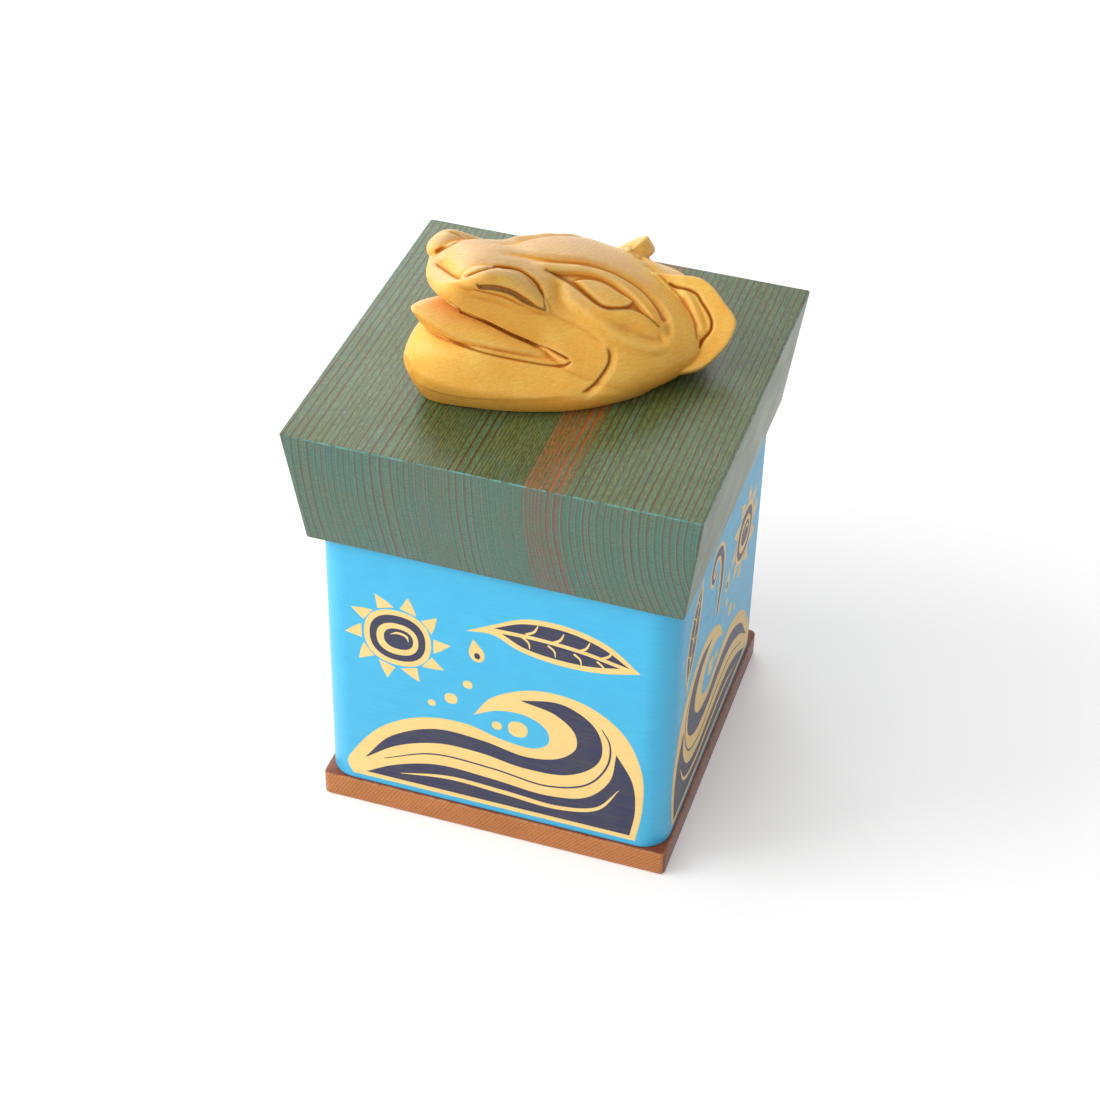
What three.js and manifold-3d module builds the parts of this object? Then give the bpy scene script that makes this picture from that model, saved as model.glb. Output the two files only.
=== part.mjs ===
// A small cedar box with a bent wooden wall, a board base and a thick lid that lifts off.
// An animal head carved from one block of yellow cedar lies across the lid's diagonal.
// Millimetres, +Z up. The origin is the middle of the base's underside, and -Y is the front.

import * as THREE from "three";
import { mergeVertices } from "three/addons/utils/BufferGeometryUtils.js";
import Module from "manifold-3d";

const wasm = await Module();
wasm.setup();

// Base board
const BASE_SIDE = 126.5;
const BASE_THICKNESS = 10;
const BASE_CORNER = 2;
const BASE_SOFTENING = 0.8;
const PANEL_HEIGHT = 4;
const PANEL_CLEARANCE = 0.3;

// Bent wall: one board, bent at three corners and lapped at the fourth, back left
const WALL_SIDE = 124.5;
const WALL_HEIGHT = 107;
const WALL_THICKNESS = 8;
const BEND_RADIUS = 10;
const INNER_CORNER = 1.5;
const LAP_TONGUE = 3;
const GLUE_GAP = 0.3;

// Lid
const LID_TOP_SIDE = 140;
const LID_BOTTOM_SIDE = 129;
const LID_HEIGHT = 44;
const LID_CORNER = 2.5;
const LID_SOFTENING = 1.2;
const PLUG_DEPTH = 6;
const PLUG_CLEARANCE = 0.5;
const HOLLOW_SIDE = 84;
const HOLLOW_DEPTH = 24;
const HOLLOW_CORNER = 8;

// Pegs and dowels
const PEG_CLEARANCE = 0.2;
const BASE_PEG_RADIUS = 1.8;
const BASE_PEG_LENGTH = 24;
const BASE_PEG_SPREAD = 32;
const CORNER_PEG_RADIUS = 1.4;
const CORNER_PEG_LENGTH = 15;
const CORNER_PEG_COUNT = 5;
const CORNER_PEG_MARGIN = 12;
const DOWEL_RADIUS = 3;
const DOWEL_LENGTH = 22;
const DOWEL_PLACES = { front: 14, rear: -20 };
const PEG_CHAMFER = 0.4;
const PEG_SEGMENTS = 14;
const PEG_RECESS = 0.2;

// Head: it faces the front left corner of the lid
const HEAD_FACING_DEG = 227;
const RING_POINTS = 30;
const STEPS_PER_STATION = 3;

// Worked out
const WALL_BOTTOM = BASE_THICKNESS;
const WALL_TOP = WALL_BOTTOM + WALL_HEIGHT;
const LID_TOP = WALL_TOP + LID_HEIGHT;
const WALL_HALF = WALL_SIDE / 2;
const INNER_HALF = WALL_HALF - WALL_THICKNESS;
const WALL_MIDLINE = WALL_HALF - WALL_THICKNESS / 2;
const HEAD_BOTTOM = LID_TOP + GLUE_GAP;
const ARC_SEGMENTS = 5;

const WOODS = {
  base: { color: 0x7a3d1e, roughness: 0.5 },
  wall: { color: 0x5fc8f5, roughness: 0.35 },
  lid: { color: 0x5a8269, roughness: 0.55 },
  head: { color: 0xe0a850, roughness: 0.4 },
  peg: { color: 0xb98a52, roughness: 0.6 },
};

const box = new THREE.Group();

function woodenPiece(name, geometry, wood, parent = box) {
  const material = new THREE.MeshStandardMaterial({ ...WOODS[wood], metalness: 0 });
  const mesh = new THREE.Mesh(geometry, material);
  mesh.name = name;
  parent.add(mesh);
  return mesh;
}

// Solids for joining and cutting. A mirroring matrix turns the faces round again.

function toSolid(geometry, matrix = new THREE.Matrix4()) {
  const bare = geometry.clone().applyMatrix4(matrix);
  bare.deleteAttribute("normal");
  bare.deleteAttribute("uv");
  const merged = mergeVertices(bare, 1e-4);
  const triVerts = Uint32Array.from(merged.index.array);
  if (matrix.determinant() < 0) triVerts.reverse();
  const vertProperties = Float32Array.from(merged.attributes.position.array);
  return new wasm.Manifold(new wasm.Mesh({ numProp: 3, vertProperties, triVerts }));
}

function toGeometry(solid) {
  const mesh = solid.getMesh();
  const geometry = new THREE.BufferGeometry();
  geometry.setAttribute("position", new THREE.BufferAttribute(mesh.vertProperties, 3));
  geometry.setIndex(new THREE.BufferAttribute(mesh.triVerts, 1));
  geometry.computeVertexNormals();
  return geometry;
}

function move(x, y, z) {
  return new THREE.Matrix4().makeTranslation(x, y, z);
}

// A square with rounded corners, centred on the origin
function roundedSquare(side, radius) {
  const half = side / 2;
  const inner = half - radius;
  const shape = new THREE.Shape();
  shape.moveTo(-inner, -half);
  shape.absarc(inner, -inner, radius, -Math.PI / 2, 0, false);
  shape.absarc(inner, inner, radius, 0, Math.PI / 2, false);
  shape.absarc(-inner, inner, radius, Math.PI / 2, Math.PI, false);
  shape.absarc(-inner, -inner, radius, Math.PI, 1.5 * Math.PI, false);
  return shape;
}

function slab(side, radius, bottom, top) {
  const depth = top - bottom;
  const options = { depth, bevelEnabled: false, curveSegments: ARC_SEGMENTS };
  return new THREE.ExtrudeGeometry(roundedSquare(side, radius), options).translate(0, 0, bottom);
}

// A slab whose edges are softened all round, between two heights
function softSlab(side, radius, bottom, top, softening) {
  const options = {
    depth: top - bottom - 2 * softening,
    bevelEnabled: true,
    bevelSize: softening,
    bevelThickness: softening,
    bevelOffset: -softening,
    bevelSegments: 2,
    curveSegments: ARC_SEGMENTS,
  };
  const geometry = new THREE.ExtrudeGeometry(roundedSquare(side, radius), options);
  return geometry.translate(0, 0, bottom + softening);
}

// A round peg standing on z = 0, with its end edges broken
function pegGeometry(radius, length) {
  const profile = [
    new THREE.Vector2(0, 0),
    new THREE.Vector2(radius - PEG_CHAMFER, 0),
    new THREE.Vector2(radius, PEG_CHAMFER),
    new THREE.Vector2(radius, length - PEG_CHAMFER),
    new THREE.Vector2(radius - PEG_CHAMFER, length),
    new THREE.Vector2(0, length),
  ];
  return new THREE.LatheGeometry(profile, PEG_SEGMENTS).rotateX(Math.PI / 2);
}

// The hole for a peg that stands on z = 0, open past both of its ends by a little
function pegHole(radius, length, matrix) {
  const hole = new THREE.CylinderGeometry(
    radius + PEG_CLEARANCE, radius + PEG_CLEARANCE, length + 2 * GLUE_GAP, PEG_SEGMENTS);
  hole.rotateX(Math.PI / 2).translate(0, 0, length / 2);
  return toSolid(hole, matrix);
}

// Where the pegs go

const basePegPlaces = [];
for (const side of [-1, 1]) {
  for (const along of [-BASE_PEG_SPREAD, BASE_PEG_SPREAD]) {
    basePegPlaces.push([along, side * WALL_MIDLINE], [side * WALL_MIDLINE, along]);
  }
}

// The corner pegs go in from the back face, through the lapping end into the lapped one
const cornerPegX = -(WALL_HALF - LAP_TONGUE - GLUE_GAP + INNER_HALF) / 2;
const cornerPegStep = (WALL_HEIGHT - 2 * CORNER_PEG_MARGIN) / (CORNER_PEG_COUNT - 1);
const cornerPegPlaces = [];
for (let i = 0; i < CORNER_PEG_COUNT; i++) {
  const height = WALL_BOTTOM + CORNER_PEG_MARGIN + i * cornerPegStep;
  cornerPegPlaces.push(move(cornerPegX, WALL_HALF - PEG_RECESS, height)
    .multiply(new THREE.Matrix4().makeRotationX(Math.PI / 2)));
}

const headTurn = new THREE.Matrix4().makeRotationZ(THREE.MathUtils.degToRad(HEAD_FACING_DEG));
const dowelBottom = LID_TOP - DOWEL_LENGTH / 2;

// Base board, with a raised panel that the wall fits round

function makeBase() {
  const board = softSlab(BASE_SIDE, BASE_CORNER, 0, BASE_THICKNESS, BASE_SOFTENING);
  const panelSide = 2 * (INNER_HALF - PANEL_CLEARANCE);
  const panelTop = BASE_THICKNESS + PANEL_HEIGHT;
  const panel = slab(panelSide, INNER_CORNER, BASE_THICKNESS / 2, panelTop);
  let base = toSolid(board).add(toSolid(panel));
  for (const [x, y] of basePegPlaces) {
    base = base.subtract(pegHole(BASE_PEG_RADIUS, BASE_PEG_LENGTH, move(x, y, 0)));
  }
  woodenPiece("base_board", toGeometry(base), "base");
}

// The wall seen from above: three bends, then the two ends lapped at the back left

function wallOutline() {
  const bend = WALL_HALF - BEND_RADIUS;
  const inner = INNER_HALF - INNER_CORNER;
  const tongueInside = -(WALL_HALF - LAP_TONGUE);
  const lappingEnd = tongueInside + GLUE_GAP;
  const quarter = Math.PI / 2;
  const outline = new THREE.Shape();
  outline.moveTo(tongueInside, WALL_HALF);
  outline.absarc(tongueInside, WALL_HALF - LAP_TONGUE, LAP_TONGUE, quarter, 2 * quarter, false);
  outline.absarc(-bend, -bend, BEND_RADIUS, 2 * quarter, 3 * quarter, false);
  outline.absarc(bend, -bend, BEND_RADIUS, 3 * quarter, 4 * quarter, false);
  outline.absarc(bend, bend, BEND_RADIUS, 0, quarter, false);
  outline.lineTo(lappingEnd, WALL_HALF);
  outline.lineTo(lappingEnd, INNER_HALF);
  outline.absarc(inner, inner, INNER_CORNER, quarter, 0, true);
  outline.absarc(inner, -inner, INNER_CORNER, 0, -quarter, true);
  outline.absarc(-inner, -inner, INNER_CORNER, 3 * quarter, 2 * quarter, true);
  outline.lineTo(-INNER_HALF, INNER_HALF - GLUE_GAP);
  outline.lineTo(tongueInside, INNER_HALF - GLUE_GAP);
  return outline;
}

function makeWall() {
  const options = { depth: WALL_HEIGHT, bevelEnabled: false, curveSegments: ARC_SEGMENTS };
  const board = new THREE.ExtrudeGeometry(wallOutline(), options);
  let wall = toSolid(board, move(0, 0, WALL_BOTTOM));
  for (const [x, y] of basePegPlaces) {
    wall = wall.subtract(pegHole(BASE_PEG_RADIUS, BASE_PEG_LENGTH, move(x, y, 0)));
  }
  for (const place of cornerPegPlaces) {
    wall = wall.subtract(pegHole(CORNER_PEG_RADIUS, CORNER_PEG_LENGTH, place));
  }
  woodenPiece("box_wall", toGeometry(wall), "wall");
}

function makePegs() {
  basePegPlaces.forEach(([x, y], i) => {
    const length = BASE_PEG_LENGTH - PEG_RECESS;
    const peg = woodenPiece(`base_peg_${i + 1}`, pegGeometry(BASE_PEG_RADIUS, length), "peg");
    peg.position.set(x, y, PEG_RECESS);
  });
  cornerPegPlaces.forEach((place, i) => {
    const geometry = pegGeometry(CORNER_PEG_RADIUS, CORNER_PEG_LENGTH);
    const peg = woodenPiece(`corner_peg_${i + 1}`, geometry, "peg");
    peg.applyMatrix4(place);
  });
}

// Lid: a thick flared block, rebated to drop inside the wall and hollowed underneath

function makeLid() {
  const block = softSlab(LID_TOP_SIDE, LID_CORNER, WALL_TOP, LID_TOP, LID_SOFTENING);
  const points = block.attributes.position;
  for (let i = 0; i < points.count; i++) {
    const rise = (points.getZ(i) - WALL_TOP) / LID_HEIGHT;
    const flare = THREE.MathUtils.lerp(LID_BOTTOM_SIDE / LID_TOP_SIDE, 1, rise);
    points.setXY(i, points.getX(i) * flare, points.getY(i) * flare);
  }
  const plugSide = 2 * (INNER_HALF - PLUG_CLEARANCE);
  const plugBottom = WALL_TOP - PLUG_DEPTH;
  const plug = slab(plugSide, INNER_CORNER, plugBottom, WALL_TOP + PLUG_DEPTH);
  const hollow = slab(HOLLOW_SIDE, HOLLOW_CORNER, plugBottom - PLUG_DEPTH, plugBottom + HOLLOW_DEPTH);
  let lid = toSolid(block).add(toSolid(plug)).subtract(toSolid(hollow));
  for (const along of Object.values(DOWEL_PLACES)) {
    const place = headTurn.clone().multiply(move(along, 0, dowelBottom));
    lid = lid.subtract(pegHole(DOWEL_RADIUS, DOWEL_LENGTH, place));
  }
  woodenPiece("lid_block", toGeometry(lid), "lid");
}

// Head. In the group below, X runs forward to the nose, Y to the head's left, and Z up.
// Each station is a distance forward with the half outline of the head there, from the
// bottom to the top, as pairs of half width and height.

const SKULL_STATIONS = [
  [-50, [[6, 10], [12, 9], [14, 11], [9, 15.5], [5, 16.5], [0, 17]]],
  [-46, [[12, 7], [19, 6.5], [21.5, 9], [14, 17], [8, 19], [0, 20]]],
  [-38, [[20, 2], [27, 3.5], [30.5, 8], [22, 20], [13, 24], [0, 26.3]]],
  [-27, [[25, 0], [31, 2.5], [34, 8], [25, 24], [15, 29.5], [0, 32.5]]],
  [-15, [[26, -1], [32, 1.5], [35, 7.5], [26, 27], [15, 35], [0, 38.5]]],
  [-3, [[26, -1], [31, 1.5], [33.5, 7.5], [24, 29], [13.5, 39.5], [0, 43.2]]],
  [8, [[22, 7], [27.5, 9], [27.5, 14], [19, 31], [12, 41.5], [0, 46]]],
  [18, [[14, 19.5], [18.5, 20.5], [18.5, 28], [17.5, 36], [13, 44], [0, 47.8]]],
  [25, [[12, 24.5], [15.5, 26], [16.5, 33], [17, 41], [13, 47], [0, 50]]],
  [34, [[8, 31], [12, 32], [13, 38], [15.3, 45.5], [11, 51.8], [0, 51.8]]],
  [40, [[5.5, 35.5], [8.5, 36.5], [10.5, 40], [13, 45.5], [9, 50], [0, 48.5]]],
  [44, [[3, 38.5], [5, 39.2], [7, 41.5], [7.5, 44], [5, 46], [0, 45]]],
  [46, [[1.5, 41], [2.5, 41.3], [3.5, 42], [3.5, 43], [2.5, 43.8], [0, 43.6]]],
];

const JAW_STATIONS = [
  [-24, [[20, -2], [25, 1], [27, 4], [25, 10], [12, 12], [0, 12]]],
  [-4, [[28, -2], [32, 1], [34, 6], [28, 14], [14, 17], [0, 17]]],
  [8, [[26, -2], [30, 1], [31.5, 6.5], [25, 14], [13, 18], [0, 18]]],
  [18, [[22, -2], [26, 1], [28, 7.5], [21.5, 16.5], [10, 20], [0, 20]]],
  [28, [[16, -2], [20.5, 1], [23.5, 9], [17, 20], [8, 22], [0, 22]]],
  [37, [[9, -2], [14, 1], [19, 10.5], [13, 22.5], [6, 24], [0, 24]]],
  [46, [[2, -2], [7.5, 3], [13, 12], [9, 22], [4, 24.5], [0, 25]]],
  [51.5, [[1, 5], [4, 7], [8, 13], [5.5, 19.5], [2.5, 21.5], [0, 22]]],
  [54.5, [[0.7, 12], [1.5, 12.5], [3, 15], [2, 17.5], [1, 18], [0, 18.5]]],
];

const TONGUE_STATIONS = [
  [6, [[10, 8], [19, 10], [21, 13], [17, 17], [9, 20], [0, 21]]],
  [18, [[9, 14], [17, 16], [19.5, 18.5], [15, 23], [8, 26], [0, 27]]],
  [30, [[8, 20], [14, 21], [16, 23], [12, 27.5], [6, 30], [0, 31]]],
  [41, [[5, 22], [9, 24], [11, 27], [8, 31.5], [4, 33.5], [0, 34]]],
  [48, [[2, 27], [4.5, 29], [6, 31.5], [4.5, 34], [2, 35.3], [0, 35.7]]],
  [52.5, [[0.4, 34], [0.8, 34.2], [1.2, 34.8], [1, 35.5], [0.5, 36], [0, 36.2]]],
];

// The left ear's flat lies through these three points, and its outline is drawn in that
// flat: first number from the top corner towards the tip, second forward along the flat
const EAR_TOP = new THREE.Vector3(-46, 17, 26);
const EAR_TIP = new THREE.Vector3(-50, 31, 16);
const EAR_LOW = new THREE.Vector3(-34, 34.5, 8);
const EAR_THICKNESS = 4.5;

// The outline of a station: the listed half, and its mirror image
function stationRing(x, half) {
  const left = half.map(([y, z]) => new THREE.Vector3(x, y, z));
  const right = half.slice(0, -1).reverse().map(([y, z]) => new THREE.Vector3(x, -y, z));
  const loop = new THREE.CatmullRomCurve3([...left, ...right], true, "centripetal");
  return loop.getPoints(RING_POINTS).slice(0, RING_POINTS);
}

// A closed body through rings of points, capped at both ends
function loft(stations) {
  const rings = stations.map(([x, half]) => stationRing(x, half));
  const steps = (rings.length - 1) * STEPS_PER_STATION;
  const lines = [];
  for (let j = 0; j < RING_POINTS; j++) {
    const line = new THREE.CatmullRomCurve3(rings.map((ring) => ring[j]), false, "centripetal");
    lines.push(line.getPoints(steps));
  }
  const vertices = [];
  for (let i = 0; i <= steps; i++) {
    for (let j = 0; j < RING_POINTS; j++) vertices.push(...lines[j][i].toArray());
  }
  for (const ring of [rings[0], rings.at(-1)]) {
    const middle = new THREE.Vector3();
    ring.forEach((point) => middle.addScaledVector(point, 1 / RING_POINTS));
    vertices.push(...middle.toArray());
  }
  const backMiddle = (steps + 1) * RING_POINTS;
  const frontMiddle = backMiddle + 1;
  const triangles = [];
  for (let j = 0; j < RING_POINTS; j++) {
    const k = (j + 1) % RING_POINTS;
    for (let i = 0; i < steps; i++) {
      const here = i * RING_POINTS;
      const next = here + RING_POINTS;
      triangles.push(here + j, here + k, next + j, here + k, next + k, next + j);
    }
    const last = steps * RING_POINTS;
    triangles.push(k, j, backMiddle, last + j, last + k, frontMiddle);
  }
  const geometry = new THREE.BufferGeometry();
  geometry.setAttribute("position", new THREE.Float32BufferAttribute(vertices, 3));
  geometry.setIndex(triangles);
  return geometry;
}

// An ear: a flat plate laid back against the head. Side is 1 for left and -1 for right.
function ear(side) {
  const outline = new THREE.Shape();
  outline.moveTo(-1, 1.5);
  outline.quadraticCurveTo(2, -1, 8, -1);
  outline.quadraticCurveTo(16, -1.5, 18.5, 2);
  outline.quadraticCurveTo(24, 10, 22, 20);
  outline.lineTo(12, 34);
  outline.lineTo(-10, 14);
  const options = { depth: EAR_THICKNESS, bevelEnabled: true, bevelSize: 0.8, bevelThickness: 0.8 };
  const plate = new THREE.ExtrudeGeometry(outline, { ...options, bevelSegments: 2, curveSegments: 4 });
  const across = new THREE.Vector3().subVectors(EAR_TIP, EAR_TOP).normalize();
  const towardsLow = new THREE.Vector3().subVectors(EAR_LOW, EAR_TOP);
  const inward = new THREE.Vector3().crossVectors(across, towardsLow).normalize();
  const forward = new THREE.Vector3().crossVectors(inward, across);
  const place = new THREE.Matrix4().makeBasis(across, forward, inward).setPosition(EAR_TOP);
  return toSolid(plate, new THREE.Matrix4().makeScale(1, side, 1).multiply(place));
}

function makeHead() {
  const group = new THREE.Group();
  group.applyMatrix4(headTurn);
  group.position.z = HEAD_BOTTOM;
  box.add(group);

  let head = toSolid(loft(SKULL_STATIONS)).add(toSolid(loft(JAW_STATIONS)));
  head = head.add(toSolid(loft(TONGUE_STATIONS)));
  head = head.add(ear(1)).add(ear(-1));
  const below = new THREE.BoxGeometry(200, 200, 40).translate(0, 0, -20);
  head = head.subtract(toSolid(below));
  for (const along of Object.values(DOWEL_PLACES)) {
    const place = move(along, 0, dowelBottom - HEAD_BOTTOM);
    head = head.subtract(pegHole(DOWEL_RADIUS, DOWEL_LENGTH, place));
  }
  woodenPiece("carved_head", toGeometry(head), "head", group);
}

function makeDowels() {
  for (const [name, along] of Object.entries(DOWEL_PLACES)) {
    const geometry = pegGeometry(DOWEL_RADIUS, DOWEL_LENGTH);
    const dowel = woodenPiece(`head_dowel_${name}`, geometry, "peg");
    dowel.applyMatrix4(headTurn.clone().multiply(move(along, 0, dowelBottom)));
  }
}

makeBase();
makeWall();
makePegs();
makeLid();
makeHead();
makeDowels();

export default box;
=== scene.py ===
import math

import bmesh
import bpy
import numpy as np
from mathutils import Matrix, Vector
from mathutils.bvhtree import BVHTree


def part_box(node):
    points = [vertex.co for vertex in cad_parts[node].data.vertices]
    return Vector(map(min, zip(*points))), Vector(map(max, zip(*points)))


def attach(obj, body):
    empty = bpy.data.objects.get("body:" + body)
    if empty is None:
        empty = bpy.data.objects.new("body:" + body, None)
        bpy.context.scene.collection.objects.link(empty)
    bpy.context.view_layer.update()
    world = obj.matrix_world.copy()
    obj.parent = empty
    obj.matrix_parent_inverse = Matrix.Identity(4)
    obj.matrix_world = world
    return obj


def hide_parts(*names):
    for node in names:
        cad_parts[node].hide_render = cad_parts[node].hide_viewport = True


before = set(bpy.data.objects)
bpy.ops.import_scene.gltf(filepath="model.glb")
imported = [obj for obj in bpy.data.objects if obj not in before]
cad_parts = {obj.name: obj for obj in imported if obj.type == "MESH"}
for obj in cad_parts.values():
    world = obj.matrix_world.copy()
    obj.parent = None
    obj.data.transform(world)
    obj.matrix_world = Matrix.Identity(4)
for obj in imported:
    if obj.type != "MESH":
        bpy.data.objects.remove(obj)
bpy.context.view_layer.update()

# A small bent wooden box with a painted wall, a board base and a stained lid that carries a
# carved animal head. Shapes are worked out in millimetres and turned into metres at the end.
MM = 0.001

# What the frame says about the pieces
BASE_LOW, BASE_HIGH = (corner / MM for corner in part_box("base_board"))
WALL_LOW, WALL_HIGH = (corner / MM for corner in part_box("box_wall"))
LID_LOW, LID_HIGH = (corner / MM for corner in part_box("lid_block"))
HEAD_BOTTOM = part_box("carved_head")[0].z / MM
BASE_SIDE = BASE_HIGH.x - BASE_LOW.x
WALL_SIDE = WALL_HIGH.x - WALL_LOW.x
LID_TOP_SIDE = LID_HIGH.x - LID_LOW.x

# Base and wall
BASE_CORNER = 2
BASE_SOFTENING = 0.8
PANEL_HEIGHT = 4
PANEL_CLEARANCE = 0.3
WALL_THICKNESS = 8
BEND_RADIUS = 10
INNER_CORNER = 1.5
LAP_TONGUE = 3
GLUE_GAP = 0.3
WALL_SOFTENING = 0.5
WALL_HALF = WALL_SIDE / 2
INNER_HALF = WALL_HALF - WALL_THICKNESS

# Lid
LID_BOTTOM_SIDE = 129
LID_CORNER = 1
LID_SOFTENING = 0.5
PLUG_DEPTH = 6
PLUG_CLEARANCE = 0.5
HOLLOW_SIDE = 84
HOLLOW_DEPTH = 24
HOLLOW_CORNER = 8
INNER_SOFTENING = 0.5

# Pegs, and how far their holes run on past them
PEG_CLEARANCE = 0.2
PEG_SOFTENING = 0.35
HOLE_OVERRUN = 0.6

# Mesh detail: how far the held points lie from the ends of a long edge, the steps round a bend, the
# turns at which an edge is rounded and is shaded as sharp, and how an edge that gets rubbed, and
# on the lid a painted highlight, is told from a flat
HOLDING_EDGE = 0.6
BEND_STEPS = 16
ROUNDED_TURN = math.radians(30)
SHARP_TURN = math.radians(35)
EDGE_TURN = 0.006
EDGE_GAIN = 60

# Head: X runs forward to the nose, Y to the head's left and Z up
HEAD_FACING = math.radians(227)

# Camera, as worked out from the box's corners in the photograph: its place is in metres, and its
# lens and sensor in millimetres
CAMERA_PLACE = Vector((0.2003, -0.6485, 0.6221))
CAMERA_AZIMUTH = math.radians(17.2)
CAMERA_ELEVATION = math.radians(38.61)
CAMERA_ROLL = math.radians(1.43)
CAMERA_LENS = 80.9
CAMERA_SENSOR = 36


def place_camera():
    """Puts the camera where the photograph was taken from. Returns its rotation, whose columns are
    right, up and back."""
    back = Vector((
        math.sin(CAMERA_AZIMUTH) * math.cos(CAMERA_ELEVATION),
        -math.cos(CAMERA_AZIMUTH) * math.cos(CAMERA_ELEVATION),
        math.sin(CAMERA_ELEVATION),
    ))
    level_right = Vector((math.cos(CAMERA_AZIMUTH), math.sin(CAMERA_AZIMUTH), 0))
    level_up = back.cross(level_right)
    right = math.cos(CAMERA_ROLL) * level_right + math.sin(CAMERA_ROLL) * level_up
    up = math.cos(CAMERA_ROLL) * level_up - math.sin(CAMERA_ROLL) * level_right
    rotation = Matrix((right, up, back)).transposed()
    data = bpy.data.cameras.new("camera")
    data.lens = CAMERA_LENS
    data.sensor_width = CAMERA_SENSOR
    data.clip_start = 0.01
    camera = bpy.data.objects.new("camera", data)
    camera.matrix_world = Matrix.Translation(CAMERA_PLACE) @ rotation.to_4x4()
    bpy.context.scene.collection.objects.link(camera)
    bpy.context.scene.camera = camera
    return rotation


camera_rotation = place_camera()


# Mesh helpers

def catmull(points, count, closed=False):
    """Points evenly along a smooth line through the given ones."""
    p = np.asarray(points, float)
    spans = len(p) if closed else len(p) - 1
    if closed:
        p = np.concatenate([p[-1:], p, p[:2]])
    else:
        p = np.concatenate([2 * p[:1] - p[1:2], p, 2 * p[-1:] - p[-2:-1]])
    gaps = np.linalg.norm(np.diff(p, axis=0), axis=1)
    knots = np.concatenate([[0], np.cumsum(np.sqrt(np.maximum(gaps, 1e-6)))])
    along = np.linspace(0, spans, count, endpoint=not closed)
    i = np.minimum(along.astype(int), spans - 1)
    t0, t1, t2, t3 = (knots[i + k][:, None] for k in range(4))
    t = t1 + (t2 - t1) * (along - i)[:, None]
    a1 = ((t1 - t) * p[i] + (t - t0) * p[i + 1]) / (t1 - t0)
    a2 = ((t2 - t) * p[i + 1] + (t - t1) * p[i + 2]) / (t2 - t1)
    a3 = ((t3 - t) * p[i + 2] + (t - t2) * p[i + 3]) / (t3 - t2)
    b1 = ((t2 - t) * a1 + (t - t0) * a2) / (t2 - t0)
    b2 = ((t3 - t) * a2 + (t - t1) * a3) / (t3 - t1)
    return ((t2 - t) * b1 + (t - t1) * b2) / (t2 - t1)


def smooth_step(x):
    x = np.clip(x, 0, 1)
    return x * x * (3 - 2 * x)


def new_piece(name, mesh, *materials):
    piece = bpy.data.objects.new(name, mesh)
    bpy.context.scene.collection.objects.link(piece)
    for material in materials:
        mesh.materials.append(material)
    return piece


def settle(piece, body, slot, *nodes):
    """Turns millimetres into metres, puts the piece on its body, and hides the nodes it replaces."""
    piece.data.transform(Matrix.Scale(MM, 4))
    piece.data.update()
    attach(piece, body)
    if nodes:
        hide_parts(*nodes)


def shade(mesh):
    mesh.shade_smooth()
    mesh.set_sharp_from_angle(angle=SHARP_TURN)


def arc(centre_x, centre_y, radius, start, end, steps=10):
    angles = np.linspace(math.radians(start), math.radians(end), steps + 1)
    return [(centre_x + radius * math.cos(a), centre_y + radius * math.sin(a)) for a in angles]


def with_holding_points(outline):
    """Adds points just inside the ends of each long edge, so that flat faces shade flat."""
    held = []
    for i, here in enumerate(outline):
        held.append(here)
        ahead = np.subtract(outline[(i + 1) % len(outline)], here)
        length = np.linalg.norm(ahead)
        if length > 6 * HOLDING_EDGE:
            step = ahead * HOLDING_EDGE / length
            held.append(tuple(np.add(here, step)))
            held.append(tuple(np.add(here, ahead - step)))
    return held


def rounded_square(side, radius, steps=10):
    inner = side / 2 - radius
    outline = []
    for x, y, start in ((1, -1, -90), (1, 1, 0), (-1, 1, 90), (-1, -1, 180)):
        outline += arc(x * inner, y * inner, radius, start, start + 90, steps)
    return with_holding_points(outline)


def stack(levels):
    """A closed body through rounded squares: each level is a side, a corner radius and a height."""
    bm = bmesh.new()
    rings = []
    for side, radius, height in levels:
        rings.append([bm.verts.new((x, y, height)) for x, y in rounded_square(side, radius)])
    for low, high in zip(rings, rings[1:]):
        for i in range(len(low)):
            j = (i + 1) % len(low)
            bm.faces.new((low[i], low[j], high[j], high[i]))
    bm.faces.new(rings[0][::-1])
    bm.faces.new(rings[-1])
    bmesh.ops.recalc_face_normals(bm, faces=bm.faces)
    return bm


def soften(bm, width, wanted, segments=4):
    """Rounds the sharp edges whose middle passes the test."""
    edges = [
        edge for edge in bm.edges
        if edge.is_manifold and edge.calc_face_angle() > ROUNDED_TURN
        and wanted((edge.verts[0].co + edge.verts[1].co) / 2)
    ]
    bmesh.ops.bevel(
        bm, geom=edges, offset=width, segments=segments, profile=0.5,
        affect="EDGES", clamp_overlap=True,
    )


def to_mesh(bm, name):
    mesh = bpy.data.meshes.new(name)
    bm.to_mesh(mesh)
    bm.free()
    return mesh


def peg_axis(node):
    """Where a round node starts, the way it runs, its length and its radius, in millimetres."""
    low, high = (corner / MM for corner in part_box(node))
    size = high - low
    way = max(range(3), key=lambda k: size[k])
    start = (low + high) / 2
    start[way] = low[way]
    direction = Vector((way == 0, way == 1, way == 2))
    return start, direction, size[way], size[(way + 1) % 3] / 2


def round_bar(bm, start, direction, profile, around=32):
    """A turned bar: the profile is pairs of radius and distance along it."""
    side = direction.orthogonal().normalized()
    other = direction.cross(side)
    rings = []
    for radius, along in profile:
        ring = []
        for k in range(around):
            angle = 2 * math.pi * k / around
            out = side * math.cos(angle) + other * math.sin(angle)
            ring.append(bm.verts.new(start + direction * along + out * radius))
        rings.append(ring)
    for low, high in zip(rings, rings[1:]):
        for i in range(around):
            j = (i + 1) % around
            bm.faces.new((low[i], low[j], high[j], high[i]))
    bm.faces.new(rings[0][::-1])
    bm.faces.new(rings[-1])


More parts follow.
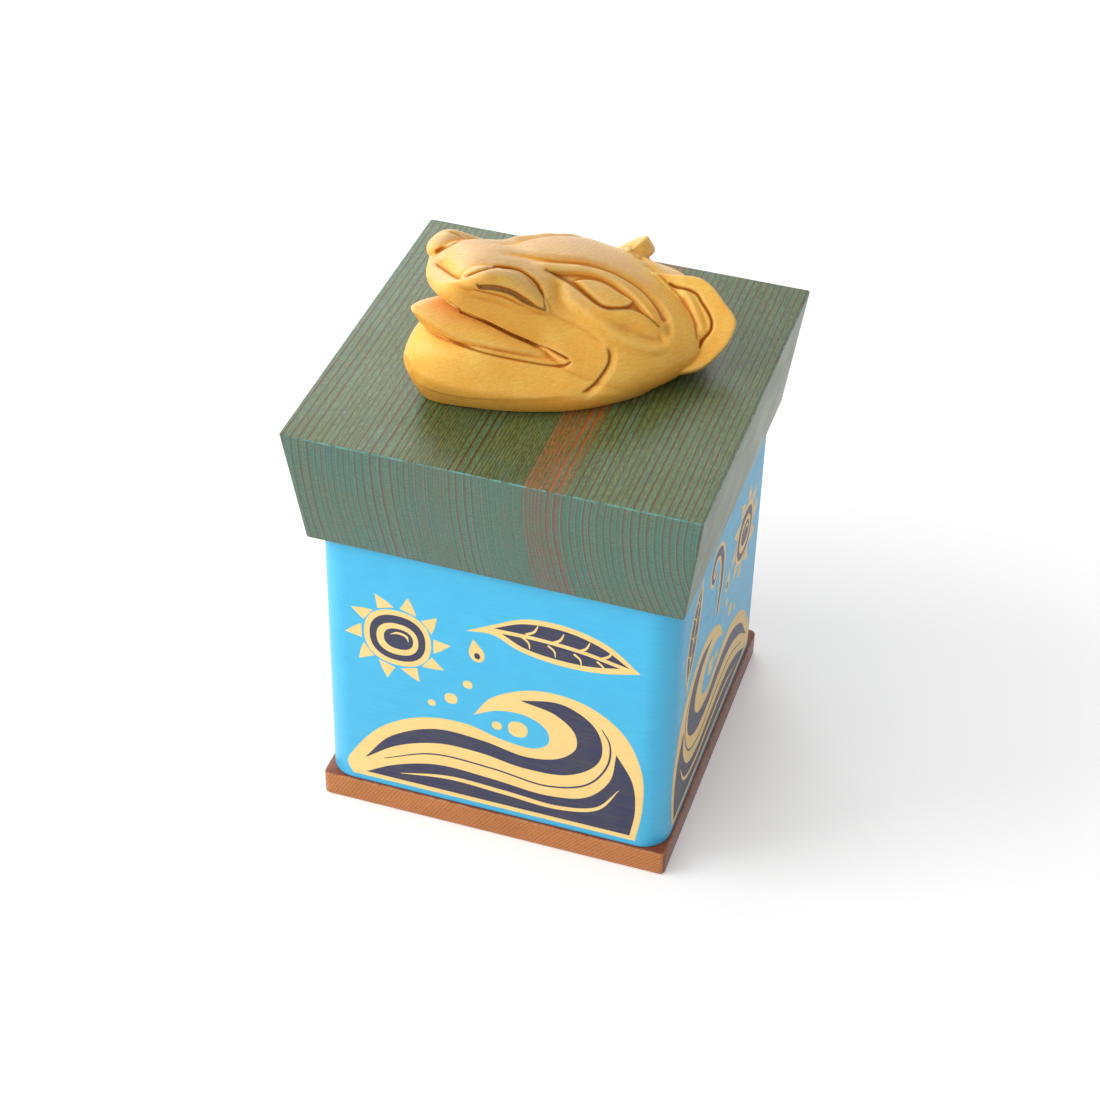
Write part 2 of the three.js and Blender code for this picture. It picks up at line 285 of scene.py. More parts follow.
def drill(piece, nodes):
    """Cuts a hole with its clearance for each peg."""
    bm = bmesh.new()
    for node in nodes:
        start, direction, length, radius = peg_axis(node)
        wide = radius + PEG_CLEARANCE
        ends = [(wide, -HOLE_OVERRUN), (wide, length + HOLE_OVERRUN)]
        round_bar(bm, start, direction, ends)
    bmesh.ops.recalc_face_normals(bm, faces=bm.faces)
    cutter = bpy.data.objects.new("peg_holes", to_mesh(bm, "peg_holes"))
    bpy.context.scene.collection.objects.link(cutter)
    cut = piece.modifiers.new("peg_holes", "BOOLEAN")
    cut.operation = "DIFFERENCE"
    cut.solver = "EXACT"
    cut.object = cutter
    apply_modifiers(piece)
    bpy.data.objects.remove(cutter)


def apply_modifiers(piece):
    view = bpy.context.evaluated_depsgraph_get()
    done = bpy.data.meshes.new_from_object(piece.evaluated_get(view))
    piece.modifiers.clear()
    piece.data = done


# Shader helpers

def srgb(red, green, blue):
    """A colour read off a screen, 0 to 255, as the shader's linear one."""
    def linear(value):
        value /= 255
        return value / 12.92 if value <= 0.04045 else ((value + 0.055) / 1.055) ** 2.4
    return (linear(red), linear(green), linear(blue), 1)


class Graph:
    """Adds nodes to a shader tree and joins them up. An input is a value or another node's output."""

    def __init__(self, tree):
        self.tree = tree

    def add(self, kind, inputs, **settings):
        node = self.tree.nodes.new("ShaderNode" + kind)
        for name, value in settings.items():
            setattr(node, name, value)
        for socket, value in inputs.items():
            self.put(node.inputs[socket], value)
        return node

    def put(self, socket, value):
        if isinstance(value, bpy.types.NodeSocket):
            self.tree.links.new(value, socket)
        else:
            socket.default_value = value

    def math(self, operation, first, second=0.0):
        return self.add("Math", {0: first, 1: second}, operation=operation).outputs[0]

    def between(self, value, low, high, start=0.0, end=1.0):
        """Runs smoothly from start to end as the value runs from low to high."""
        inputs = {"Value": value, "From Min": low, "From Max": high, "To Min": start, "To Max": end}
        return self.add("MapRange", inputs, interpolation_type="SMOOTHSTEP").outputs[0]

    def mix(self, factor, first, second):
        node = self.add("Mix", {0: factor, 6: first, 7: second}, data_type="RGBA")
        return node.outputs[2]

    def tint(self, colour, mask, amount, other):
        """Puts some of another colour where the mask is."""
        return self.mix(self.math("MULTIPLY", mask, amount), colour, other)

    def stretch(self, vector, x, y, z):
        node = self.add("VectorMath", {0: vector, 1: (x, y, z)}, operation="MULTIPLY")
        return node.outputs[0]

    def noise(self, vector, scale=1.0, detail=2.0, rough=0.5):
        inputs = {"Vector": vector, "Scale": scale, "Detail": detail, "Roughness": rough}
        return self.add("TexNoise", inputs).outputs[0]

    def noise_along(self, value, scale, detail):
        """Noise that changes with one value only."""
        inputs = {"W": value, "Scale": scale, "Detail": detail}
        return self.add("TexNoise", inputs, noise_dimensions="1D").outputs[0]

    def split(self, vector):
        return self.add("SeparateXYZ", {0: vector}).outputs


def new_group(name, inputs, outputs):
    """A node group with its graph, its input sockets and the node that takes its outputs.
    Inputs pair a name with a default, and a default of three numbers is a vector."""
    tree = bpy.data.node_groups.new(name, "ShaderNodeTree")
    for label, default in inputs.items():
        kind = "NodeSocketVector" if isinstance(default, tuple) else "NodeSocketFloat"
        socket = tree.interface.new_socket(label, in_out="INPUT", socket_type=kind)
        socket.default_value = default
    for label in outputs:
        tree.interface.new_socket(label, in_out="OUTPUT", socket_type="NodeSocketFloat")
    start = tree.nodes.new("NodeGroupInput")
    end = tree.nodes.new("NodeGroupOutput")
    return tree, Graph(tree), start.outputs, end.inputs


def place_group(graph, tree, inputs):
    return graph.add("Group", inputs, node_tree=tree).outputs


# Shared effects

def make_ring_radius():
    """How far the wood lies from the pith, for grain along Y and a vector in millimetres."""
    defaults = {"Vector": (0.0, 0.0, 0.0), "Pith": (250.0, 0.0, 180.0), "Wander": 4.0}
    tree, graph, given, result = new_group("ring_radius", defaults, ("Radius",))
    away = graph.add("VectorMath", {0: given["Vector"], 1: given["Pith"]}, operation="SUBTRACT")
    x, _, z = graph.split(away.outputs[0])
    drift = graph.math("SUBTRACT", graph.noise(graph.stretch(given["Vector"], 0.02, 0.005, 0.02)), 0.5)
    x = graph.math("ADD", x, graph.math("MULTIPLY", drift, given["Wander"]))
    squares = graph.math("ADD", graph.math("MULTIPLY", x, x), graph.math("MULTIPLY", z, z))
    graph.put(result["Radius"], graph.math("SQRT", squares))
    return tree


def make_growth_rings():
    """The years of the wood at a radius. Late is the hard dark line that ends each year, Phase runs
    from 0 to 1 within the year and Tone is the year's own. Crowding adds years to the count."""
    defaults = {"Radius": 0.0, "Spacing": 2.4, "Crowding": 0.0, "Late Share": 0.3, "Unevenness": 2.0}
    tree, graph, given, result = new_group("growth_rings", defaults, ("Late", "Phase", "Tone"))
    count = graph.math("DIVIDE", given["Radius"], given["Spacing"])
    count = graph.math("ADD", count, given["Crowding"])
    years = graph.noise_along(count, 0.15, 1.0)
    count = graph.math("ADD", count, graph.math("MULTIPLY", years, given["Unevenness"]))
    phase = graph.math("FRACT", count)
    year = graph.math("FLOOR", count)
    tone = graph.add("TexWhiteNoise", {"W": year}, noise_dimensions="1D").outputs[0]
    late_start = graph.math("SUBTRACT", 1.0, given["Late Share"])
    rising = graph.between(phase, late_start, 0.95)
    falling = graph.between(phase, 1.0, 0.97)
    late = graph.math("MULTIPLY", rising, falling)
    graph.put(result["Late"], graph.math("MULTIPLY", late, graph.between(tone, -0.6, 0.5)))
    graph.put(result["Phase"], phase)
    graph.put(result["Tone"], tone)
    return tree


def make_fibres():
    """Short streaks along the grain, which runs along Y."""
    defaults = {"Vector": (0.0, 0.0, 0.0), "Scale": 1.0}
    tree, graph, given, result = new_group("fibres", defaults, ("Fibre",))
    streaks = graph.noise(graph.stretch(given["Vector"], 2.4, 0.5, 2.4), given["Scale"], 3.0, 0.6)
    graph.put(result["Fibre"], streaks)
    return tree


def make_mottle():
    """Uneven patches of any size, from 0 to 1, for stain, oil, varnish and handling marks."""
    defaults = {"Vector": (0.0, 0.0, 0.0), "Patch Size": 20.0, "Contrast": 1.0}
    tree, graph, given, result = new_group("mottle", defaults, ("Patches",))
    scale = graph.math("DIVIDE", 1.0, given["Patch Size"])
    patches = graph.noise(given["Vector"], scale, 4.0, 0.6)
    centred = graph.math("MULTIPLY", graph.math("SUBTRACT", patches, 0.5), given["Contrast"])
    graph.put(result["Patches"], graph.between(centred, -0.3, 0.3))
    return tree


def make_edge_wear_and_highlight():
    """Where corners have been rubbed, and on the lid also where a painted highlight lies: the mesh's
    edge mark, broken up by noise.
    """
    defaults = {"Vector": (0.0, 0.0, 0.0), "Edge": 0.0, "Amount": 1.0}
    tree, graph, given, result = new_group("edge_wear_and_highlight", defaults, ("Wear And Highlight",))
    broken = graph.noise(given["Vector"], 0.35, 3.0, 0.6)
    reach = graph.math("MULTIPLY", given["Edge"], graph.between(broken, 0.35, 0.65))
    graph.put(result["Wear And Highlight"], graph.math("MULTIPLY", reach, given["Amount"]))
    return tree


def make_brush_marks():
    """Fine level strokes of a soft brush, running round the wall."""
    defaults = {"Vector": (0.0, 0.0, 0.0)}
    tree, graph, given, result = new_group("brush_marks", defaults, ("Streak", "Grit"))
    drawn_out = graph.stretch(given["Vector"], 0.12, 0.12, 2.6)
    graph.put(result["Streak"], graph.noise(drawn_out, detail=3.0))
    graph.put(result["Grit"], graph.noise(given["Vector"], 2.2, 2.0))
    return tree


ring_radius = make_ring_radius()
growth_rings = make_growth_rings()
fibres = make_fibres()
mottle = make_mottle()
edge_wear_and_highlight = make_edge_wear_and_highlight()
brush_marks = make_brush_marks()


# Finishes

# The cedar's grain runs front to back
ACROSS_GRAIN = 0
ALONG_GRAIN = 1

# The lid's tree: where its heart was, how far apart its years lie, where they crowd together (from
# one radius to another, with the extra years there) and the band that took little of the stain
LID_PITH = (130.0, 0.0, 149.0)
LID_YEAR = 2.3
CROWDED_YEARS = ((112.0, 136.0, 13.0), (143.0, 157.0, 8.0))
BARE_RADIUS = 112.0
BARE_HALF = 7.2
BARE_FADE = 1.4

# The trees of the base and the head
BASE_PITH = (160.0, 0.0, -110.0)
BASE_YEAR = 1.15
HEAD_PITH = (-220.0, 0.0, -230.0)
HEAD_YEAR = 0.7

# How deep the grain and the brush marks stand, in millimetres
OPEN_GRAIN = 0.05
FINE_GRAIN = 0.03
PAINT_RELIEF = 0.03

# The height above its foot at which the painted sheen on the head's top starts, and at which it
# is full
SHEEN_START = 27
SHEEN_END = 43

# Stain on the long grain
DEEP_GREEN = srgb(24, 76, 46)
OLIVE = srgb(60, 86, 38)
BLUE_GREEN = srgb(36, 92, 76)
MOSS = srgb(98, 108, 58)
STRAW_GREEN = srgb(122, 138, 78)
MILKY_GREEN = srgb(84, 128, 104)
LATE_BROWN = srgb(82, 33, 10)
RUST = srgb(158, 72, 16)

# Stain on the end grain, and where corners are rubbed: on the lid this lighter colour is also a
# painted highlight
END_TEAL = srgb(46, 122, 110)
END_GREEN = srgb(80, 114, 80)
END_KHAKI = srgb(112, 116, 90)
END_TAN = srgb(128, 116, 92)
END_FLECK = srgb(34, 98, 88)
END_BLUE = srgb(66, 158, 160)
END_LATE = srgb(100, 50, 46)
END_RUST = srgb(132, 66, 56)
WORN_AND_HIGHLIT_STAIN = srgb(90, 180, 176)
RUBBED_CEDAR = srgb(214, 160, 112)

# Varnished yellow cedar, with its painted sheen, painted shade and painted highlight
HONEY = srgb(255, 184, 66)
PALE_HONEY = srgb(255, 208, 98)
UNDERSIDE_SHADE_ORANGE = srgb(252, 168, 56)
PAINTED_SHEEN_TOP = srgb(238, 204, 160)
LATE_HONEY = srgb(208, 136, 52)
FIBRE_HONEY = srgb(206, 134, 52)
SPECK_HONEY = srgb(200, 126, 44)
HOLLOW_SHADE_ORANGE = srgb(200, 112, 16)
CREST_HIGHLIGHT_YELLOW = srgb(252, 210, 128)
CUT_SHADE_BROWN = srgb(100, 42, 4)

PEG_TAN = srgb(168, 118, 72)
PEG_PALE = srgb(198, 152, 100)


def new_material(name):
    """A material with its graph, its shader's inputs and the place on the piece in millimetres."""
    material = bpy.data.materials.new(name)
    material.use_nodes = True
    shader = material.node_tree.nodes["Principled BSDF"].inputs
    graph = Graph(material.node_tree)
    place = graph.add("TexCoord", {}).outputs["Object"]
    return material, graph, shader, graph.stretch(place, 1 / MM, 1 / MM, 1 / MM)


def surface_normal(graph):
    return graph.split(graph.add("TexCoord", {}).outputs["Normal"])


def faces_along(graph, axis):
    """How squarely the surface faces along an axis."""
    facing = graph.math("ABSOLUTE", surface_normal(graph)[axis])
    return graph.between(facing, 0.6, 0.9)


def mark(graph, name):
    return graph.add("Attribute", {}, attribute_name=name).outputs["Fac"]


def bump(graph, shader, height, depth_mm):
    node = graph.add("Bump", {"Height": height, "Distance": depth_mm * MM, "Strength": 1.0})
    graph.put(shader["Normal"], node.outputs[0])


def patches_on(graph, vector, size_mm, contrast=1.0):
    inputs = {"Vector": vector, "Patch Size": size_mm, "Contrast": contrast}
    return place_group(graph, mottle, inputs)["Patches"]


def fibres_on(graph, vector, scale=1.0, low=0.4):
    fibre = place_group(graph, fibres, {"Vector": vector, "Scale": scale})["Fibre"]
    return graph.between(fibre, low, 0.62)


def worn_and_highlit_edges(graph, vector, amount):
    inputs = {"Vector": vector, "Edge": mark(graph, "edge"), "Amount": amount}
    return place_group(graph, edge_wear_and_highlight, inputs)["Wear And Highlight"]


def radius_in(graph, vector, pith, wander):
    inputs = {"Vector": vector, "Pith": pith, "Wander": wander}
    return place_group(graph, ring_radius, inputs)["Radius"]


def stain_on_long_grain(graph, place, wood, marks):
    """The lid's top, with a dark line for each year. Its left and right faces are cut along the
    years, and show fine level lines."""
    stain = graph.mix(marks["patches"], DEEP_GREEN, OLIVE)
    stain = graph.mix(graph.between(wood["Tone"], 0.2, 0.9, 0.0, 0.5), stain, BLUE_GREEN)
    stain = graph.tint(stain, marks["fine"], 0.4, MOSS)
    stain = graph.tint(stain, marks["fibre"], 0.42, STRAW_GREEN)
    stain = graph.mix(graph.between(marks["wash"], 0.5, 1.0, 0.0, 0.35), stain, MILKY_GREEN)
    level_lines = graph.noise(graph.stretch(place, 0.03, 0.03, 1.2), detail=3.0)
    level_lines = graph.between(level_lines, 0.5, 0.66, 0.0, 0.5)
    late = graph.between(faces_along(graph, ACROSS_GRAIN), 0.0, 1.0, wood["Late"], level_lines)
    return graph.mix(late, stain, LATE_BROWN)


def stain_on_end_grain(graph, place, wood, marks):
    """The lid's front and back, which drink more of the stain."""
    flecks = graph.noise(graph.stretch(place, 0.7, 4.0, 4.0), detail=2.0)
    stain = graph.mix(marks["patches"], END_TEAL, END_GREEN)
    stain = graph.mix(graph.between(wood["Tone"], 0.3, 0.9, 0.0, 0.3), stain, END_KHAKI)
    stain = graph.tint(stain, marks["fine"], 0.5, END_TAN)
    stain = graph.tint(stain, graph.between(flecks, 0.42, 0.62), 0.6, END_FLECK)
    stain = graph.mix(graph.between(wood["Phase"], 0.16, 0.02, 0.0, 0.4), stain, END_BLUE)
    return graph.tint(stain, wood["Late"], 0.7, END_LATE)


def bare_years(graph, radius, wood, marks):
    """Where a few years took little of the stain."""
    near_band = graph.math("ABSOLUTE", graph.math("SUBTRACT", radius, BARE_RADIUS))
    bare = graph.between(near_band, BARE_HALF, BARE_HALF - BARE_FADE)
    bare = graph.math("MULTIPLY", bare, graph.between(wood["Phase"], 0.15, 0.45))
    broken = graph.math("ADD", marks["wash"], marks["fibre"])
    return graph.math("MULTIPLY", bare, graph.between(broken, 0.5, 1.3, 0.35, 1.0))


def make_stained_cedar():
    """Green stain over open cedar grain. Its yearly rings run on from the top down the end grain."""
    material, graph, shader, place = new_material("stained_cedar")
    radius = radius_in(graph, place, LID_PITH, 4.0)
    crowding = 0.0
    for start, end, extra in CROWDED_YEARS:
        crowding = graph.math("ADD", graph.between(radius, start, end, 0.0, extra), crowding)
    wood = place_group(graph, growth_rings, {
        "Radius": radius, "Spacing": LID_YEAR, "Crowding": crowding, "Late Share": 0.46,
        "Unevenness": 1.7,
    })
    marks = {
        "patches": patches_on(graph, place, 24.0),
        "wash": patches_on(graph, graph.stretch(place, 1, 0.3, 1), 4.0),
        "fibre": fibres_on(graph, place),
        "fine": graph.between(graph.noise_along(radius, 1.7, 2.0), 0.42, 0.62),
    }
    cut_across = faces_along(graph, ALONG_GRAIN)
    long_grain = stain_on_long_grain(graph, place, wood, marks)
    colour = graph.mix(cut_across, long_grain, stain_on_end_grain(graph, place, wood, marks))
    bare = graph.math("MULTIPLY", bare_years(graph, radius, wood, marks),
                      graph.between(cut_across, 0.0, 1.0, 0.8, 0.6))
    colour = graph.mix(bare, colour, graph.mix(cut_across, RUST, END_RUST))
    # the lid's rubbed edges, lighter from wear and from a painted highlight
    colour = graph.mix(worn_and_highlit_edges(graph, place, 0.6), colour, WORN_AND_HIGHLIT_STAIN)
    graph.put(shader["Base Color"], colour)
    graph.put(shader["Roughness"], graph.between(marks["patches"], 0.0, 1.0, 0.28, 0.38))
    height = graph.math("SUBTRACT", graph.math("MULTIPLY", marks["fibre"], 0.6),
                        graph.math("MULTIPLY", wood["Late"], 0.6))
    bump(graph, shader, height, OPEN_GRAIN)
    return material


def make_red_cedar(name, face, end, late, roughness):
    """Red cedar, with the colours of its long grain, its end grain and its late wood."""
    material, graph, shader, place = new_material(name)
    wood = place_group(graph, growth_rings, {
        "Radius": radius_in(graph, place, BASE_PITH, 3.0), "Spacing": BASE_YEAR,
        "Late Share": 0.45, "Unevenness": 1.0,
    })
    fibre = fibres_on(graph, place)
    colour = graph.mix(faces_along(graph, ALONG_GRAIN), face, end)
    colour = graph.tint(colour, patches_on(graph, place, 18.0), 0.2, late)
    colour = graph.tint(colour, fibre, 0.25, late)
    colour = graph.tint(colour, wood["Late"], 0.5, late)
    colour = graph.mix(worn_and_highlit_edges(graph, place, 0.4), colour, RUBBED_CEDAR)
    graph.put(shader["Base Color"], colour)
    graph.put(shader["Roughness"], graph.between(fibre, 0.0, 1.0, roughness - 0.06, roughness + 0.1))
    height = graph.math("ADD", graph.math("MULTIPLY", wood["Late"], 0.7),
                        graph.math("MULTIPLY", fibre, 0.4))
    bump(graph, shader, height, OPEN_GRAIN)
    return material


def make_paint(name, colour, second, roughness, unevenness):
    """Brushed paint, uneven between two colours, over wood whose marks show through."""
    material, graph, shader, place = new_material(name)
    strokes = place_group(graph, brush_marks, {"Vector": place})
    thin = graph.math("ADD", patches_on(graph, place, 9.0), graph.between(strokes["Streak"], 0.35, 0.65))
    painted = graph.tint(colour, thin, unevenness, second)
    graph.put(shader["Base Color"], graph.mix(worn_and_highlit_edges(graph, place, 0.3), painted, second))
    low, high = roughness - 0.05, roughness + 0.08
    graph.put(shader["Roughness"], graph.between(strokes["Streak"], 0.3, 0.7, low, high))
    height = graph.math("ADD", strokes["Streak"], graph.math("MULTIPLY", strokes["Grit"], 0.5))
    bump(graph, shader, height, PAINT_RELIEF)
    return material


def make_yellow_cedar():
    """Varnished carving wood, with painted light and shade: a painted sheen pales the top, painted
    shade turns the undersides and hollows orange and darkens the cuts, and the crests get a painted
    highlight.
    The gloss comes from the varnish, which the cuts don't have."""
    material, graph, shader, place = new_material("yellow_cedar")
    shader["Specular IOR Level"].default_value = 0.12
    shader["Coat Roughness"].default_value = 0.35
    turn = {"Vector": place, "Rotation": (0, 0, math.radians(90) - HEAD_FACING)}
    turned = graph.add("Mapping", turn, vector_type="POINT").outputs[0]
    wood = place_group(graph, growth_rings, {
        "Radius": radius_in(graph, turned, HEAD_PITH, 6.0), "Spacing": HEAD_YEAR,
        "Late Share": 0.5, "Unevenness": 1.5,
    })
    patches = patches_on(graph, place, 14.0)
    specks = patches_on(graph, turned, 0.6, 1.2)
    hollow = mark(graph, "hollow")
    cut = mark(graph, "cut")
    upward = surface_normal(graph)[2]
    height_up = graph.split(place)[2]
    colour = graph.mix(patches, HONEY, PALE_HONEY)
    # painted shade: faces that look down turn orange
    colour = graph.mix(graph.between(upward, 0.45, -0.2, 0.0, 0.45), colour, UNDERSIDE_SHADE_ORANGE)
    # painted sheen: high faces that look up turn pale, less so in the hollows
    top_sheen = graph.math("MULTIPLY", graph.between(upward, 0.3, 0.85),
                       graph.between(height_up, HEAD_BOTTOM + SHEEN_START, HEAD_BOTTOM + SHEEN_END))
    top_sheen = graph.math("MULTIPLY", top_sheen, graph.between(hollow, 0.62, 0.5))
    colour = graph.tint(colour, top_sheen, 0.75, PAINTED_SHEEN_TOP)
    colour = graph.tint(colour, wood["Late"], 0.18, LATE_HONEY)
    colour = graph.tint(colour, fibres_on(graph, turned, 0.6, 0.42), 0.18, FIBRE_HONEY)
    colour = graph.tint(colour, specks, 0.12, SPECK_HONEY)
    # painted shade: the hollows turn a deeper orange
    colour = graph.mix(graph.between(hollow, 0.5, 0.85, 0.0, 0.85), colour, HOLLOW_SHADE_ORANGE)
    # painted highlight: the crests turn a paler yellow
    colour = graph.mix(graph.between(hollow, 0.5, 0.1, 0.0, 0.5), colour, CREST_HIGHLIGHT_YELLOW)
    # painted shade: the cuts turn dark brown
    graph.put(shader["Base Color"], graph.mix(cut, colour, CUT_SHADE_BROWN))
    roughness = graph.between(patches, 0.0, 1.0, 0.36, 0.5)
    graph.put(shader["Roughness"], graph.math("MAXIMUM", roughness, cut))
    graph.put(shader["Coat Weight"], graph.between(cut, 0.0, 0.5, 0.5, 0.0))
    height = graph.math("ADD", graph.math("MULTIPLY", wood["Late"], 0.5), specks)
    bump(graph, shader, height, FINE_GRAIN)
    return material


def make_peg_wood():
    material, graph, shader, place = new_material("peg_wood")
    shader["Roughness"].default_value = 0.5
    patches = patches_on(graph, place, 1.2)
    graph.put(shader["Base Color"], graph.mix(patches, PEG_TAN, PEG_PALE))
    bump(graph, shader, patches, FINE_GRAIN)
    return material


stained_cedar = make_stained_cedar()
oiled_cedar = make_red_cedar(
    "oiled_red_cedar", face=srgb(128, 54, 18), end=srgb(204, 128, 62),
    late=srgb(112, 50, 16), roughness=0.34)
bare_cedar = make_red_cedar(
    "bare_red_cedar", face=srgb(186, 128, 86), end=srgb(170, 108, 70),
    late=srgb(128, 72, 44), roughness=0.62)
sky_blue = make_paint("sky_blue_paint", srgb(68, 190, 234), srgb(56, 174, 222), 0.34, 0.3)
gold_paint = make_paint("gold_paint", srgb(253, 219, 142), srgb(242, 200, 120), 0.42, 0.35)
blue_black_paint = make_paint("blue_black_paint", srgb(62, 60, 72), srgb(38, 42, 80), 0.4, 0.7)
yellow_cedar = make_yellow_cedar()
peg_wood = make_peg_wood()


# Marks on the mesh

def store(mesh, name, values):
    """Keeps a number for each point of the mesh, for its material to read."""
    attribute = mesh.attributes.new(name, "FLOAT", "POINT")
    attribute.data.foreach_set("value", values.astype(np.float32))


def mark_edges(mesh):
    """Stores on each point how much it lies on a rounded edge, from 0 on flats and wide bends to 1."""
    normals = np.zeros(len(mesh.vertices) * 3)
    mesh.vertices.foreach_get("normal", normals)
    normals = normals.reshape(-1, 3)
    bend = np.zeros(len(mesh.vertices))
    for face in mesh.polygons:
        corners = list(face.vertices)
        turned = 1 - normals[corners] @ np.array(face.normal)
        bend[corners] = np.maximum(bend[corners], turned)
    store(mesh, "edge", np.clip((bend - EDGE_TURN) * EDGE_GAIN, 0, 1))


# Base board, wall and lid

def make_base():
    top = BASE_HIGH.z - PANEL_HEIGHT
    panel = 2 * (INNER_HALF - PANEL_CLEARANCE)
    bm = stack([
        (BASE_SIDE, BASE_CORNER, 0), (BASE_SIDE, BASE_CORNER, top),
        (panel, INNER_CORNER, top), (panel, INNER_CORNER, BASE_HIGH.z),
    ])
    soften(bm, BASE_SOFTENING, lambda p: max(abs(p.x), abs(p.y)) > BASE_SIDE / 2 - 1)
    base = new_piece("cedar_base", to_mesh(bm, "cedar_base"), oiled_cedar)
    drill(base, [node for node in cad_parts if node.startswith("base_peg")])
    shade(base.data)
    mark_edges(base.data)
    settle(base, "box", "oiled_red_cedar", "base_board")


def wall_outline():
    bend = WALL_HALF - BEND_RADIUS
    inner = INNER_HALF - INNER_CORNER
    tongue = -(WALL_HALF - LAP_TONGUE)
    lap = tongue + GLUE_GAP
    outline = arc(tongue, WALL_HALF - LAP_TONGUE, LAP_TONGUE, 90, 180)
    outline += arc(-bend, -bend, BEND_RADIUS, 180, 270, BEND_STEPS)
    outline += arc(bend, -bend, BEND_RADIUS, 270, 360, BEND_STEPS)
    outline += arc(bend, bend, BEND_RADIUS, 0, 90, BEND_STEPS)
    outline += [(lap, WALL_HALF), (lap, INNER_HALF)]
    outline += arc(inner, inner, INNER_CORNER, 90, 0)
    outline += arc(inner, -inner, INNER_CORNER, 0, -90)
    outline += arc(-inner, -inner, INNER_CORNER, 270, 180)
    outline += [(-INNER_HALF, INNER_HALF - GLUE_GAP), (tongue, INNER_HALF - GLUE_GAP)]
    return with_holding_points(outline)


def make_wall():
    bm = bmesh.new()
    outline = wall_outline()
    low, high = ([bm.verts.new((x, y, z)) for x, y in outline] for z in (WALL_LOW.z, WALL_HIGH.z))
    for i in range(len(outline)):
        j = (i + 1) % len(outline)
        bm.faces.new((low[i], low[j], high[j], high[i]))
    bm.faces.new(low[::-1])
    bm.faces.new(high)
    bmesh.ops.recalc_face_normals(bm, faces=bm.faces)
    soften(bm, WALL_SOFTENING, lambda p: p.z < WALL_LOW.z + 1 or p.z > WALL_HIGH.z - 1)
    wall = new_piece("bent_wall", to_mesh(bm, "bent_wall"), sky_blue, bare_cedar)
    drill(wall, [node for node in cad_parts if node.startswith(("base_peg", "corner_peg"))])
    for face in wall.data.polygons:
        rim = abs(face.normal.z) > 0.9
        bend = (max(abs(v) - (WALL_HALF - BEND_RADIUS), 0) for v in face.center[:2])
        inside = math.hypot(*bend) < BEND_RADIUS - 2 * WALL_SOFTENING
        # only the outside is painted
        face.material_index = 1 if rim or inside else 0
    shade(wall.data)
    mark_edges(wall.data)
    settle(wall, "box", "painted_cedar", "box_wall")


def make_lid():
    plug = 2 * (INNER_HALF - PLUG_CLEARANCE)
    seat = LID_LOW.z + PLUG_DEPTH
    ceiling = LID_LOW.z + HOLLOW_DEPTH
    low_corner = LID_CORNER * LID_BOTTOM_SIDE / LID_TOP_SIDE
    bm = stack([
        (HOLLOW_SIDE, HOLLOW_CORNER, ceiling), (HOLLOW_SIDE, HOLLOW_CORNER, LID_LOW.z),
        (plug, INNER_CORNER, LID_LOW.z), (plug, INNER_CORNER, seat),
        (LID_BOTTOM_SIDE, low_corner, seat), (LID_TOP_SIDE, LID_CORNER, LID_HIGH.z),
    ])
    outer = LID_BOTTOM_SIDE / 2 - 1
    soften(bm, LID_SOFTENING, lambda p: max(abs(p.x), abs(p.y)) > outer)
    soften(bm, INNER_SOFTENING, lambda p: p.z < LID_LOW.z + 1)
    lid = new_piece("flared_lid", to_mesh(bm, "flared_lid"), stained_cedar, bare_cedar)
    for face in lid.data.polygons:
        x, y, z = face.center
        under = max(abs(x), abs(y)) < plug / 2 + 0.1 and z < LID_HIGH.z - 1
        face.material_index = 1 if under else 0
    shade(lid.data)
    mark_edges(lid.data)
    settle(lid, "lid", "stained_cedar", "lid_block")


def make_pegs():
    """Turned pegs with softened ends, each where its node is."""
    for node in sorted(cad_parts):
        if "peg" not in node and "dowel" not in node:
            continue
        start, direction, length, radius = peg_axis(node)
        curve = [(math.sin(a), 1 - math.cos(a)) for a in np.linspace(0, math.pi / 2, 5)]
        near = [(radius - PEG_SOFTENING * (1 - s), PEG_SOFTENING * (1 - c)) for s, c in curve]
        profile = near + [(r, length - d) for r, d in near[::-1]]
        bm = bmesh.new()
        round_bar(bm, start, direction, profile)
        bmesh.ops.recalc_face_normals(bm, faces=bm.faces)
        peg = new_piece("turned_" + node, to_mesh(bm, node), peg_wood)
        shade(peg.data)
        settle(peg, "lid" if "dowel" in node else "box", "peg_wood", node)


make_base()
make_wall()
make_lid()
make_pegs()


# Painted design: waves, suns and leaves. A side's own X runs to the right from its middle as
# seen from outside, and its Y is the height above the table. A film starts a little inside the
# wall, and each layer of a motif stands a little further out than the one before.
SIDE_PITCH = 2 * (WALL_HALF - BEND_RADIUS) + math.pi / 2 * BEND_RADIUS
FRONT, RIGHT, BACK, LEFT = range(4)
FILM_BED = 0.04
FILM_STEP = 0.035


def on_wall(along, height, out):
    """The point of the wall's outside that lies a distance along it from the middle of the front."""
    side = round(along / SIDE_PITCH)
    local = along - side * SIDE_PITCH
    flat = WALL_HALF - BEND_RADIUS
    past = max(abs(local) - flat, 0) / BEND_RADIUS
    x = math.copysign(min(abs(local), flat) + (BEND_RADIUS + out) * math.sin(past), local)
    y = -flat - (BEND_RADIUS + out) * math.cos(past)
    c, s = math.cos(side * math.pi / 2), math.sin(side * math.pi / 2)
    return Vector((x * c - y * s, x * s + y * c, height))


